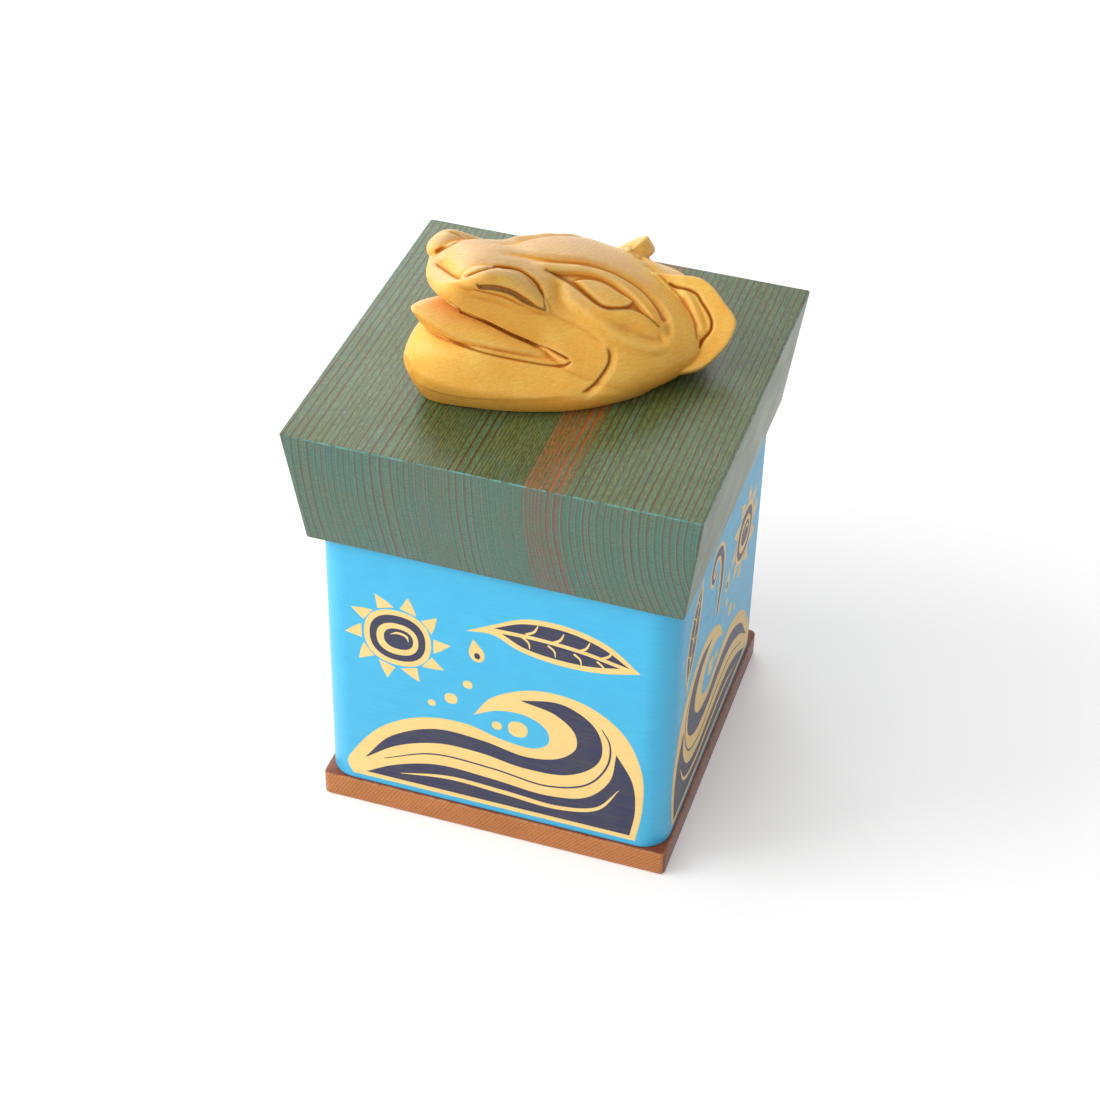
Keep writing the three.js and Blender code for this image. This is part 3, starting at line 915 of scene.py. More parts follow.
class Design:
    """Collects painted outlines for the gold and the dark films."""

    def __init__(self):
        self.films = {"gold": [], "dark": []}

    def add(self, paint, outline, side, layer):
        self.films[paint].append((outline, side, layer))

    def make(self, name, paint, material):
        whole = bmesh.new()
        for outline, side, layer in self.films[paint]:
            bm = bmesh.new()
            corners = [bm.verts.new((x + side * SIDE_PITCH, y, -FILM_BED)) for x, y in outline]
            bm.faces.new(corners).normal_update()
            bmesh.ops.triangulate(bm, faces=bm.faces, ngon_method="EAR_CLIP")
            cut_at_bends(bm)
            top = bmesh.ops.extrude_face_region(bm, geom=bm.faces[:])["geom"]
            thickness = FILM_BED + FILM_STEP * (layer + 1)
            raised = [v for v in top if isinstance(v, bmesh.types.BMVert)]
            bmesh.ops.translate(bm, verts=raised, vec=(0, 0, thickness))
            bmesh.ops.recalc_face_normals(bm, faces=bm.faces)
            for v in bm.verts:
                v.co = on_wall(*v.co)
            mesh = to_mesh(bm, "patch")
            whole.from_mesh(mesh)
            bpy.data.meshes.remove(mesh)
        film = new_piece(name, to_mesh(whole, name), material)
        shade(film.data)
        settle(film, "box", "painted_cedar")


def cut_at_bends(bm):
    """Cuts a flat patch where it will follow a round corner of the wall."""
    low = min(v.co.x for v in bm.verts)
    high = max(v.co.x for v in bm.verts)
    for corner in range(-1, 5):
        middle = (corner + 0.5) * SIDE_PITCH
        half = math.pi / 4 * BEND_RADIUS
        for x in np.linspace(middle - half, middle + half, BEND_STEPS + 1):
            if low < x < high:
                geometry = bm.verts[:] + bm.edges[:] + bm.faces[:]
                bmesh.ops.bisect_plane(bm, geom=geometry, plane_co=(x, 0, 0), plane_no=(1, 0, 0))


class Place:
    """Moves, turns, scales and mirrors the outlines of one motif."""

    def __init__(self, design, side, x, y, size=1.0, turn=0.0, flip=False):
        self.design, self.side, self.x, self.y, self.size = design, side, x, y, size
        self.turn, self.flip = math.radians(turn), flip

    def paint(self, paint, layer, outline):
        p = np.asarray(outline, float) * self.size
        if self.flip:
            p = p[::-1] * [-1, 1]
        c, s = math.cos(self.turn), math.sin(self.turn)
        p = p @ np.array([[c, s], [-s, c]]) + [self.x, self.y]
        self.design.add(paint, p.tolist(), self.side, layer)


def band(points, widths, count=64):
    """A brush stroke along a smooth line, swelling and tapering through the given widths."""
    line = catmull(points, count)
    width = catmull([(i, w) for i, w in enumerate(widths)], count)[:, 1]
    along = np.gradient(line, axis=0)
    along /= np.linalg.norm(along, axis=1)[:, None]
    side = np.stack([-along[:, 1], along[:, 0]], 1) * np.maximum(width, 0.1)[:, None] / 2
    return np.concatenate([line - side, (line + side)[::-1]])


def oval(width, height, squareness=2.3, x=0.0, y=0.0, count=64):
    """A squarish oval round a point."""
    angle = np.linspace(0, 2 * math.pi, count, endpoint=False)
    power = 2 / squareness
    across = np.sign(np.cos(angle)) * np.abs(np.cos(angle)) ** power * width / 2
    up = np.sign(np.sin(angle)) * np.abs(np.sin(angle)) ** power * height / 2
    return np.stack([x + across, y + up], 1)


def closed(*runs):
    """An outline made of smooth runs that meet at corners."""
    parts = [catmull(run, 10 * len(run) if len(run) > 2 else 2)[:-1] for run in runs]
    return np.concatenate(parts)


def wave(place):
    """A rolling wave, 104 mm wide, whose crest curls back over its own foam."""
    place.paint("gold", 0, closed(
        [(-52, 0), (52, 0)],
        [(52, 0), (54, 15), (53, 33), (46, 48), (33, 57), (16, 58.5), (0, 51), (-7, 41)],
        [(-7, 41), (2, 45.5), (12, 46), (19, 42), (20, 36), (15, 32), (4, 32.5), (-10, 36),
         (-26, 34), (-41, 25), (-52, 10), (-54, 5), (-52, 0)],
    ))
    # the heavy line that rises from the left and swells into the crest
    place.paint("dark", 1, band(
        [(-47, 9), (-36, 20), (-20, 27), (-4, 27), (12, 24.5), (26, 27), (34, 35), (33, 45),
         (24, 52), (10, 52.5)],
        [0.2, 4.5, 6.5, 6, 5.5, 7.5, 9, 8.5, 6, 0.2], 90))
    # the trough under it, with a light line along its foot
    place.paint("dark", 1, closed(
        [(-47, 2), (50, 2)],
        [(50, 2), (51.5, 14), (50, 27), (44, 38)],
        [(44, 38), (42, 25), (34, 15), (20, 11.5), (0, 13), (-20, 13.5), (-36, 8.5), (-47, 2)]))
    place.paint("gold", 2, band(
        [(-34, 5.2), (-16, 8.6), (4, 8), (24, 7), (38, 11), (45.5, 22)], [0.2, 1.6, 2.0, 1.8, 1.4, 0.2]))
    # a fine line between the two
    place.paint("dark", 1, band(
        [(-40, 10.5), (-22, 18), (0, 18), (20, 16), (34, 21), (41, 32), (41.5, 42), (38.5, 48)],
        [0.3, 0.6, 0.7, 0.7, 0.7, 0.7, 0.6, 0.3], 90))
    # foam
    for x, y, size in ((9, 39, 7), (1.5, 38.5, 3.6), (-15, 46, 4.6), (-9, 54, 3.4), (-22, 42, 2.8)):
        place.paint("gold", 0, oval(size, size, x=x, y=y, count=32))


def sun(place):
    """A sun, 38 mm across its curved rays."""
    rays, foot, reach, half_width = 10, 12.9, 19, 3.1
    for k in range(rays):
        angle = 2 * math.pi * k / rays
        out = np.array([math.cos(angle), math.sin(angle)])
        side = np.array([-out[1], out[0]])
        root = out * foot - side * half_width
        other_root = out * foot + side * half_width
        tip = out * reach + side * 2
        place.paint("gold", 0, closed(
            [root, out * 15.6 - side * 1.2, tip],
            [tip, out * 15.4 + side * 2.6, other_root],
            [other_root, root]))
    place.paint("gold", 0, oval(24, 24))
    place.paint("dark", 1, oval(20, 19.6))
    place.paint("gold", 2, oval(15, 13.6, y=-0.4))
    place.paint("dark", 3, oval(10.5, 8.8, x=0.4, y=-0.2))
    place.paint("gold", 4, band([(-2.6, 1.2), (0, 2.4), (3.2, 1.7), (4, -0.6)], [0.1, 0.9, 1.0, 0.1], 24))


def leaf(place):
    """A long leaf, 60 mm from stalk to tip, dark on both sides of its rib."""
    place.paint("gold", 0, closed(
        [(-31, -5.5), (-22, 1), (-12, 7.5), (2, 10), (17, 7.5), (29, 0)],
        [(29, 0), (16, -5), (2, -7.4), (-12, -6.8), (-22, -3.6), (-31, -5.5)]))
    place.paint("dark", 1, closed(
        [(-22, -0.6), (-12, 5.4), (2, 7.8), (15, 5.8), (25, 1)],
        [(25, 1), (8, 2.2), (-8, 1.4), (-22, -0.6)]))
    place.paint("dark", 1, closed(
        [(-19, -1.8), (-7, -0.1), (8, 0.6), (22, -0.3)],
        [(22, -0.3), (12, -3.6), (0, -5.2), (-11, -4.8), (-19, -1.8)]))
    for x in (-11, -2, 7, 15):
        place.paint("gold", 2, band([(x, 1.2), (x + 2.6, 3.4), (x + 3.6, 6.6)],
                                    [0.9, 0.9, 0.3], 16))
        place.paint("gold", 2, band([(x - 1, -0.4), (x + 1.4, -2), (x + 2.2, -4.4)],
                                    [0.8, 0.7, 0.3], 16))


def drop(place):
    """A water drop, 10 mm long, with a dark heart."""
    place.paint("gold", 0, closed(
        [(0, 5.4), (2.7, -0.4), (2, -3.4), (0, -4.5), (-2, -3.4), (-2.7, -0.4), (0, 5.4)]))
    place.paint("dark", 1, oval(2, 2.6, y=-1.8, count=24))


def shoot(place):
    """A curled fern shoot, 34 mm high."""
    stem = [(0, -16), (3, -6), (3.4, 4), (0, 12), (-7, 14), (-11, 9), (-8.5, 4.5), (-4.5, 6.5)]
    place.paint("gold", 0, band(stem, [4.6, 6.2, 6.6, 6.6, 6.2, 5.6, 4.6, 3]))
    place.paint("dark", 1, band(stem, [1.2, 3, 3.4, 3.4, 3, 2.4, 1.6, 0.4]))


def make_design():
    design = Design()
    foot = WALL_LOW.z + 2.5
    for side, flip in ((FRONT, False), (RIGHT, True), (BACK, True), (LEFT, False)):
        wave(Place(design, side, 0, foot, flip=flip))
    sun(Place(design, FRONT, -34, 80))
    leaf(Place(design, FRONT, 22, 92, turn=-7))
    drop(Place(design, FRONT, -6, 82, turn=12))
    sun(Place(design, RIGHT, 30, 82))
    shoot(Place(design, RIGHT, -6, 89))
    leaf(Place(design, RIGHT, -38, 88, size=0.75, turn=68))
    drop(Place(design, RIGHT, 8, 77, turn=-20))
    leaf(Place(design, BACK, -20, 92, turn=8, flip=True))
    sun(Place(design, BACK, 34, 80))
    drop(Place(design, BACK, 8, 82, turn=-12))
    shoot(Place(design, LEFT, 18, 90, flip=True))
    sun(Place(design, LEFT, -32, 82))
    leaf(Place(design, LEFT, 40, 88, size=0.7, turn=100))
    drop(Place(design, LEFT, 2, 82))
    design.make("gold_design", "gold", gold_paint)
    design.make("dark_design", "dark", blue_black_paint)


make_design()


# Carved head. A station is a distance forward with half the outline there, from the bottom to
# the top, as pairs of half width and height. The underside is cut flat at height 0 later.
SKULL = [
    (-50, [(6, 10), (12, 9), (14, 11), (13, 13), (9, 15.5), (5, 16.5), (2.5, 17), (0, 17)]),
    (-46, [(12, 7), (19, 6.5), (21.5, 9), (20, 13), (14, 16.3), (8, 18), (4, 18.8), (0, 19)]),
    (-38, [(20, 2), (27, 3.5), (30.5, 8), (29, 13.5), (22, 18.7), (13, 22.4), (6, 24.3), (0, 25)]),
    (-27, [(25, 0), (31, 2.5), (34, 8), (32.5, 15), (25, 23.2), (15, 28.2), (7, 30.6), (0, 31.5)]),
    (-15, [(26, -1), (32, 1.5), (35, 7.5), (33, 16), (26, 27), (15, 35), (7, 37.8), (0, 38.5)]),
    (-3, [(26, -1), (31, 1.5), (33.5, 7.5), (31, 16), (24, 29), (13.5, 39.5), (7, 42.5), (0, 43.2)]),
    (8, [(22, 7), (27.5, 9), (27.5, 14), (24.5, 21), (19, 31), (12, 41.5), (6.5, 45), (0, 46)]),
    (16, [(16, 19.8), (19.5, 20.8), (19.5, 24.5), (18, 30), (15, 37), (11.5, 43.5), (7, 46.1),
          (0, 47.2)]),
    (25, [(12, 25.8), (15, 26.8), (15.5, 30.5), (14.5, 36), (12.5, 42), (10.5, 46.6), (7, 49),
          (0, 50)]),
    (33, [(8.5, 31.8), (12, 32.3), (12.5, 35.5), (12, 40), (11.5, 44.5), (10, 48.6), (6.5, 50.6),
          (0, 51.3)]),
    (36.5, [(7, 33.8), (10.5, 34.3), (11.2, 37), (11, 41), (10.7, 45.5), (9.5, 48.8), (6, 50.3),
            (0, 50.7)]),
    (41, [(5, 36), (7.7, 36.5), (9.2, 39), (9.7, 42), (9.7, 45), (9, 47.3), (5, 47.1), (0, 46.6)]),
    (44, [(2.8, 38.5), (4.6, 39), (6.4, 40.6), (7, 42.4), (6.7, 44), (5.2, 45), (2.7, 44.7),
          (0, 44.4)]),
    (45.2, [(1.5, 40.2), (2.6, 40.5), (3.7, 41.3), (4, 42.2), (3.7, 43), (3, 43.4), (1.5, 43.3),
            (0, 43.2)]),
]
JAW = [
    (-30, [(18, -3), (24, -1), (27, 3), (25, 9), (12, 11), (0, 11)]),
    (-16, [(26, -3), (31, 0), (33.4, 5), (32.6, 7), (29, 11.5), (14, 15), (0, 15)]),
    (-4, [(28, -2), (32, 1), (33.8, 5), (33.4, 7.5), (28.5, 14), (14, 17), (0, 17)]),
    (8, [(26, -2), (30, 1), (31.7, 5.2), (31, 8), (25.5, 14.5), (13, 18), (0, 18)]),
    (18, [(22, -2), (26, 1), (28.1, 6), (27.4, 9), (21.5, 17), (10, 20), (0, 20)]),
    (28, [(16, -2), (20.5, 1), (23.7, 7), (23.2, 10.5), (17, 20.5), (8, 22), (0, 22)]),
    (37, [(9, -2), (14, 1), (19, 8.5), (18.8, 12.5), (13.5, 23), (6, 24), (0, 24)]),
    (46, [(2, -2), (7.5, 3), (13, 11), (12.8, 14), (9.5, 22), (4, 24.5), (0, 25)]),
    (51.5, [(1, 5), (4, 7), (8, 13), (7.5, 15.5), (5.5, 19.5), (2.5, 21.5), (0, 22)]),
    (54.5, [(0.7, 12), (1.5, 12.5), (3, 15), (2.7, 16.5), (2, 17.5), (1, 18), (0, 18.5)]),
]
TONGUE = [
    (4, [(10, 8), (19, 10), (22, 13), (18, 17), (9, 20), (0, 21)]),
    (18, [(9, 14), (17, 16), (19.5, 18.5), (15, 23), (8, 26), (0, 27)]),
    (30, [(8, 20), (14, 21), (16, 23), (12, 27.5), (6, 30), (0, 31)]),
    (41, [(5, 22), (9, 24), (11, 27), (8, 31.5), (4, 33.5), (0, 34)]),
    (48, [(2, 27), (4.5, 29), (6, 31.5), (4.5, 34), (2, 35.3), (0, 35.7)]),
    (52.5, [(0.4, 34), (0.8, 34.2), (1.2, 34.8), (1, 35.5), (0.5, 36), (0, 36.2)]),
]
# Nostril wings: forward, sideways, up and radius. The far one stands a little higher.
NEAR_WING = [
    (40.5, 8.3, 46.3, 1.4), (38.2, 9.4, 47, 2.9), (34.5, 10.5, 47.3, 3.8), (29.5, 11.4, 45.4, 4.1),
    (24.5, 12.4, 42.8, 4), (19.5, 13.8, 38.7, 3.7), (15.5, 15.4, 34.6, 2.6), (12, 17, 30.7, 1.1),
]
FAR_WING = [
    (41.2, -8.8, 46.6, 1.4), (39.2, -10, 47.7, 3.1), (34.8, -11.4, 47.8, 3.9), (29.5, -12.2, 44.6, 4.2),
    (24.5, -13, 41.5, 4.1), (19.5, -14.3, 38.2, 3.8), (15.5, -15.8, 34.3, 2.8), (12, -17.3, 30.5, 1.2),
]
# The left ear's flat lies through three points. Its outline is drawn in that flat: from the top
# corner towards the tip, then forward along the flat.
EAR_TOP = np.array([-46.0, 17.0, 26.0])
EAR_TIP = np.array([-50.0, 31.0, 16.0])
EAR_LOW = np.array([-34.0, 34.5, 8.0])
EAR_THICKNESS = 4.5
# The far ear is a little wider and thicker than the near one, and lies further forward
FAR_EAR_THICKNESS = 6.5
FAR_EAR_REACH = 1.05
FAR_EAR_SHIFT = (3.2, 0.8, 0.5)
EAR_OUTLINE = [(-13, 13.5), (-7.5, 6.3), (-2.5, 0.6), (1.5, -1.1), (9, -1.4), (16, -1), (19.5, 3),
               (22, 10), (22.3, 20), (12, 34), (-4, 30)]
# How finely the head is meshed before it is carved, and how many triangles it keeps
HEAD_GRAIN = 0.36
HEAD_FACES = 190_000


def skin(rings):
    """Points and faces of a closed body through rings of points."""
    steps, around = rings.shape[:2]
    ends = [rings[0].mean(0)], [rings[-1].mean(0)]
    points = np.concatenate([rings.reshape(-1, 3), *ends])
    first, last = steps * around, steps * around + 1
    faces = []
    for j in range(around):
        k = (j + 1) % around
        for i in range(steps - 1):
            faces.append((i * around + j, i * around + k, (i + 1) * around + k, (i + 1) * around + j))
        faces.append((k, j, first))
        faces.append(((steps - 1) * around + j, (steps - 1) * around + k, last))
    return points, faces


def loft(stations, around=96, steps=8):
    """A body through mirrored outlines, smooth both round them and along them."""
    rings = []
    for x, half in stations:
        left = [(x, y, z) for y, z in half]
        right = [(x, -y, z) for y, z in half[-2::-1]]
        rings.append(catmull(left + right, around, closed=True))
    rings = np.array(rings)
    count = (len(stations) - 1) * steps + 1
    lines = [catmull(rings[:, j], count) for j in range(around)]
    return skin(np.array(lines).transpose(1, 0, 2))


def swelling(path, around=24, count=60):
    """A round body along a line whose radius changes."""
    line = catmull(path, count)
    centre, radius = line[:, None, :3], line[:, None, 3:]
    along = np.gradient(line[:, :3], axis=0)
    side = np.cross(along, [0, 0, 1])
    side /= np.linalg.norm(side, axis=1)[:, None]
    up = np.cross(side, along)
    up /= np.linalg.norm(up, axis=1)[:, None]
    angle = np.linspace(0, 2 * np.pi, around, endpoint=False)[None, :, None]
    return skin(centre + radius * (np.cos(angle) * side[:, None] + np.sin(angle) * up[:, None]))


def ear(reach=1.0, thickness=EAR_THICKNESS):
    """The left ear: a flat plate laid back against the head. Its reach is how far it is stretched
    towards its tip, and its rings are pairs of an inset and a depth below the flat."""
    across = EAR_TIP - EAR_TOP
    across /= np.linalg.norm(across)
    inward = np.cross(across, EAR_LOW - EAR_TOP)
    inward /= np.linalg.norm(inward)
    forward = np.cross(inward, across)
    outline = catmull(EAR_OUTLINE, 72, closed=True) * [reach, 1]
    middle = outline.mean(0)
    spread = np.linalg.norm(outline - middle, axis=1)[:, None]
    rings = []
    for inset, depth in ((1, 0), (0.25, 0.35), (0, 1), (0, thickness - 1), (1, thickness)):
        flat = middle + (outline - middle) * (1 - inset / spread)
        rings.append(EAR_TOP + flat[:, :1] * across + flat[:, 1:] * forward + depth * inward)
    return skin(np.array(rings))


def mirrored(body):
    points, faces = body
    return points * [1, -1, 1], [face[::-1] for face in faces]


def moved(body, shift):
    points, faces = body
    return points + shift, faces


def rough_head():
    """The head before its lines are cut: the bodies made one, evenly meshed and smoothed."""
    bodies = [loft(SKULL), loft(JAW), loft(TONGUE), swelling(NEAR_WING), swelling(FAR_WING)]
    bodies += [ear(), moved(mirrored(ear(FAR_EAR_REACH, FAR_EAR_THICKNESS)), FAR_EAR_SHIFT)]
    points, faces, count = [], [], 0
    for body_points, body_faces in bodies:
        points.append(body_points)
        faces += [tuple(i + count for i in face) for face in body_faces]
        count += len(body_points)
    mesh = bpy.data.meshes.new("head")
    mesh.from_pydata(np.concatenate(points).tolist(), [], faces)
    head = new_piece("cedar_head", mesh, yellow_cedar)
    remesh = head.modifiers.new("even", "REMESH")
    remesh.mode = "VOXEL"
    remesh.voxel_size = HEAD_GRAIN
    relax = head.modifiers.new("relax", "SMOOTH")
    relax.factor = 0.5
    relax.iterations = 5
    apply_modifiers(head)
    return head


# The carving lines are drawn in millimetres on a sheet square to the camera, near the middle of
# the head, and laid on the wood from the camera's place: X to the right and Y up on the sheet.
SHEET_DISTANCE = 852.2
SHEET_CENTRE = (6.9, 77.6)


def to_head(rotation_only=False):
    """From the box's millimetres to the head's own."""
    turn = Matrix.Rotation(-HEAD_FACING, 4, "Z")
    return turn if rotation_only else turn @ Matrix.Translation((0, 0, -HEAD_BOTTOM))


# How far the painted shade reaches from a cut's line, and how far the wood may turn from the eye,
# as the cosine of the angle, and still take a stroke or be sunk
DARK_REACH = 0.7
STROKE_TURN = -0.35
SINK_TURN = -0.2


class Carving:
    """The wood of the head, with its points moved along their normals by each cut."""

    def __init__(self, head):
        self.mesh = head.data
        self.points = self.read("co")
        self.normals = self.read("normal")
        self.tree = BVHTree.FromObject(head, bpy.context.evaluated_depsgraph_get())
        self.eye = np.array(to_head() @ (CAMERA_PLACE / MM))
        turn = np.array(to_head(rotation_only=True).to_3x3() @ camera_rotation)
        self.right, self.up, self.back = turn.T
        # both halves are carved alike, so a point of the far half is looked at in the near one
        self.near = self.points * [1, 0, 1] + np.abs(self.points) * [0, 1, 0]
        near_normals = self.normals * np.where(self.points[:, 1:2] < 0, [[1, -1, 1]], 1)
        view = self.eye - self.near
        depth = view @ self.back
        scale = SHEET_DISTANCE / depth
        self.seen = -np.stack([view @ self.right, view @ self.up], 1) * scale[:, None] - SHEET_CENTRE
        self.facing = (near_normals * view).sum(1) / np.linalg.norm(view, axis=1)
        self.rise = np.zeros(len(self.points))
        self.cut = np.zeros(len(self.points))

    def read(self, what):
        values = np.zeros(len(self.mesh.vertices) * 3)
        self.mesh.vertices.foreach_get(what, values)
        return values.reshape(-1, 3)

    def lay(self, line):
        """A smooth line through points of the sheet: on the wood, and as drawn."""
        line = np.asarray(line, float)
        length = np.linalg.norm(np.diff(line, axis=0), axis=1).sum()
        drawn = catmull(line, max(8, int(length)))
        laid = []
        for x, y in drawn:
            ray = (x + SHEET_CENTRE[0]) * self.right + (y + SHEET_CENTRE[1]) * self.up
            ray -= SHEET_DISTANCE * self.back
            hit = self.tree.ray_cast(Vector(self.eye), Vector(ray))[0]
            laid.append(hit if hit is not None else laid[-1])
        return np.array(laid), drawn

    def measure(self, laid, drawn, reach, both=True):
        """The points within reach of a line: which they are, how far from it, how far along it from
        0 to 1, and whether they lie on its left. A line is cut in both halves, or only where drawn."""
        places = self.near if both else self.points
        low, high = laid.min(0) - reach, laid.max(0) + reach
        chosen = np.flatnonzero(((places > low) & (places < high)).all(1))
        points, seen = places[chosen], self.seen[chosen]
        distance = np.full(len(chosen), np.inf)
        along = np.zeros(len(chosen))
        on_left = np.zeros(len(chosen), bool)
        for i in range(len(laid) - 1):
            step = laid[i + 1] - laid[i]
            share = np.clip((points - laid[i]) @ step / max(step @ step, 1e-9), 0, 1)
            gap = np.linalg.norm(points - laid[i] - share[:, None] * step, axis=1)
            drawn_step = drawn[i + 1] - drawn[i]
            offset = seen - drawn[i]
            turn = drawn_step[0] * offset[:, 1] - drawn_step[1] * offset[:, 0]
            closer = gap < distance
            distance[closer] = gap[closer]
            along[closer] = (i + share[closer]) / (len(laid) - 1)
            on_left[closer] = turn[closer] > 0
        return chosen, distance, along, on_left

    def stroke(self, line, depth, left, right, crisp=True, ends=(0.1, 0.1), dark=0.0, both=True):
        """Cuts along a line, or raises it with a depth below 0. Left and right are how far the cut
        reaches on either side of the line, and the ends are the shares of it that fade."""
        laid, drawn = self.lay(line)
        chosen, distance, along, on_left = self.measure(laid, drawn, max(left, right), both)
        share = np.clip(1 - distance / np.where(on_left, left, right), 0, 1)
        profile = share if crisp else smooth_step(share)
        fade = smooth_step(along / ends[0]) * smooth_step((1 - along) / ends[1])
        fade = fade * (self.facing[chosen] > STROKE_TURN)
        self.rise[chosen] -= depth * profile * fade
        # painted shade along the line, as strong as dark asks
        line_share = np.clip(1 - distance / DARK_REACH, 0, 1)
        self.cut[chosen] = np.maximum(self.cut[chosen], dark * fade * line_share)

    def inside(self, outline):
        """Which points are seen within a closed outline on the sheet."""
        x, y = self.seen.T
        crossings = np.zeros(len(x), bool)
        for (x1, y1), (x2, y2) in zip(outline, np.roll(outline, -1, axis=0)):
            if y1 != y2:
                level = (y1 > y) != (y2 > y)
                crossings ^= level & (x < (x2 - x1) * (y - y1) / (y2 - y1) + x1)
        return crossings

    def sink(self, upper, lower, depth, upper_wall, lower_wall, lean, dark=0.0, reach=12):
        """Sinks the wood between two lines with shared ends, or raises it with a depth below 0. It is
        deepest by the upper line at a lean of 0, and by the lower one at a lean of 1. The lower line
        can carry painted shade."""
        top, bottom = self.lay(upper), self.lay(lower)
        from_top = np.full(len(self.points), np.inf)
        from_bottom = from_top.copy()
        for line, distances in ((top, from_top), (bottom, from_bottom)):
            chosen, distance, _, _ = self.measure(*line, reach)
            distances[chosen] = distance
        region = self.inside(np.concatenate([top[1], bottom[1][::-1]]))
        region &= np.isfinite(from_top) & np.isfinite(from_bottom) & (self.facing > SINK_TURN)
        t, b = from_top[region], from_bottom[region]
        share = t / (t + b + 1e-6)
        tilt = 2 * ((1 - lean) * (1 - share) + lean * share)
        self.rise[region] -= depth * tilt * smooth_step(t / upper_wall) * smooth_step(b / lower_wall)
        # painted shade along the lower line
        if dark:
            line_share = np.clip(1 - from_bottom / DARK_REACH, 0, 1) * (self.facing > SINK_TURN)
            self.cut = np.maximum(self.cut, dark * line_share)

    def finish(self):
        """Moves the points, keeps the underside flat, and stores where the wood is cut or hollow."""
        rise = self.blurred(self.rise[:, None], 2)
        points = self.points + self.normals * rise
        points[:, 2] = np.maximum(points[:, 2], 0)
        self.mesh.vertices.foreach_set("co", points.ravel())
        self.mesh.update()
        store(self.mesh, "cut", self.blurred(self.cut[:, None], 1)[:, 0])
        store(self.mesh, "hollow", self.hollows(points))

    def blurred(self, values, rounds):
        """Each point's values evened out with those of its neighbours."""
        ends = np.zeros(len(self.mesh.edges) * 2, int)
        self.mesh.edges.foreach_get("vertices", ends)
        a, b = ends.reshape(-1, 2).T
        count = len(values)
        number = np.bincount(np.concatenate([a, b]), minlength=count)[:, None]
        for _ in range(rounds):
            totals = [np.bincount(a, v[b], count) + np.bincount(b, v[a], count) for v in values.T]
            values = 0.5 * values + 0.5 * np.stack(totals, 1) / number
        return values

    def hollows(self, points, rounds=24, full_mm=0.35):
        """How sunken each point is beside its surroundings: 0.5 on a plain surface, 1 in a hollow."""
        sunken = ((self.blurred(points, rounds) - points) * self.read("normal")).sum(1)
        return np.clip(0.5 + 0.5 * sunken / full_mm, 0, 1)


# Lines of the carving, as drawn on the sheet
BROW_VALLEY = [(-30, 25), (-24, 25), (-14, 24), (-3.5, 22.5), (7, 21.5), (15, 19), (22, 15),
               (28, 10), (32, 5), (34, 0.5)]
EYE_END_VALLEY = [(28, 10), (32, 5), (34, 0.5), (34, -3), (32, -4.5)]
UNDER_EYE_VALLEY = [(12, 2), (18, 0), (23, -1.8), (28, -4.2), (31.5, -5), (34, -4)]
EAR_STEP = [(24, 21.5), (29.5, 18.5), (34, 14.5), (38.5, 9.5), (41.5, 5), (43.5, -0.5), (44.5, -7)]
EAR_GROOVE = [(34, 15), (36.5, 13.5), (41.5, 12), (44, 10.5), (45.5, 8), (48, 4), (49, 1), (48.5, -2),
              (46, -5), (44.5, -8.5)]
WING_GROOVE = [(-38, 16), (-34.5, 17.5), (-30.5, 19), (-26, 20), (-21.5, 20), (-17, 19), (-14, 17),
               (-11, 14), (-9, 9.5), (-8, 5)]
WING_CROWN = [(-35.5, 15.5), (-31.5, 17), (-27, 18), (-22.5, 18), (-18, 17), (-15, 15), (-12, 12)]
WING_BACK = [(-5, 19), (-4, 14), (-3.5, 9.5), (0.5, 2.5)]
WING_FOOT = [(-39, 13.5), (-31, 11.2), (-24.1, 9.5), (-16.6, 6.4), (-9, 3.5)]
EAR_CREASE = [(36.2, 12.8), (40.5, 9.3), (43.1, 4.1), (44.8, -1), (45.2, -5.3)]
NOSTRIL_TOP = [(-32, 14), (-29.5, 14.5), (-24, 14.5), (-19, 13), (-14, 10), (-8.5, 5)]
NOSTRIL_LOW = [(-32, 14), (-31, 12.5), (-26, 12), (-20.5, 10.5), (-15.5, 7.5), (-8.5, 5)]
BROW_RIDGE_FRONT = [(-14, 21), (-7, 20.5), (1.5, 20.5), (9, 19.5)]
BROW_RIDGE_BACK = [(1.5, 20.5), (9, 19.5), (15.5, 17), (22.5, 13), (27.5, 7.5), (31.5, 2)]
SOCKET_TOP = [(-8.5, 19), (-3.5, 19), (3.5, 19), (9.5, 18), (14.5, 16), (19, 13), (24, 8.5),
              (27.5, 4), (30.5, -0.5)]
SOCKET_LOW = [(-8.5, 19), (-3.5, 16.5), (0.5, 14), (5, 10.5), (9.5, 7), (13, 5.5), (17, 5.5),
              (21.5, 5.5), (25, 4), (28.5, 1.5), (30.5, -0.5)]
EYE_TOP = [(2, 16), (5, 16.5), (9.5, 16), (14, 14), (18, 11.5), (21.5, 9.5), (23, 8.5)]
EYE_LOW = [(2, 16), (3.5, 14), (6, 11.5), (9.5, 8.5), (12, 6.5), (16.5, 6), (20.5, 6.5), (23, 8.5)]
CHEEKBONE = [(-5, 13), (3.5, 6), (12, -0.5), (20.5, -6), (29.5, -8), (35, -5)]
LIP_EDGE = [(-8, 5), (-3.5, 2.5), (3.5, -1), (8.5, -4.5), (13, -8.5)]
JAW_CORNER = [(12, -7), (13.5, -9.5), (13.5, -13), (11, -17.5), (8.5, -20.5), (6, -22.5), (3.5, -24)]
NOSE_CREST = [(-46.8, 24.7), (-44.8, 25.9), (-42.1, 27.2), (-39.3, 28.6), (-37.2, 29.5)]
NOSE_FOOT = [(-47, 21.8), (-45.2, 20.4), (-42.8, 18.6), (-39.6, 16.6), (-37.4, 15.7)]
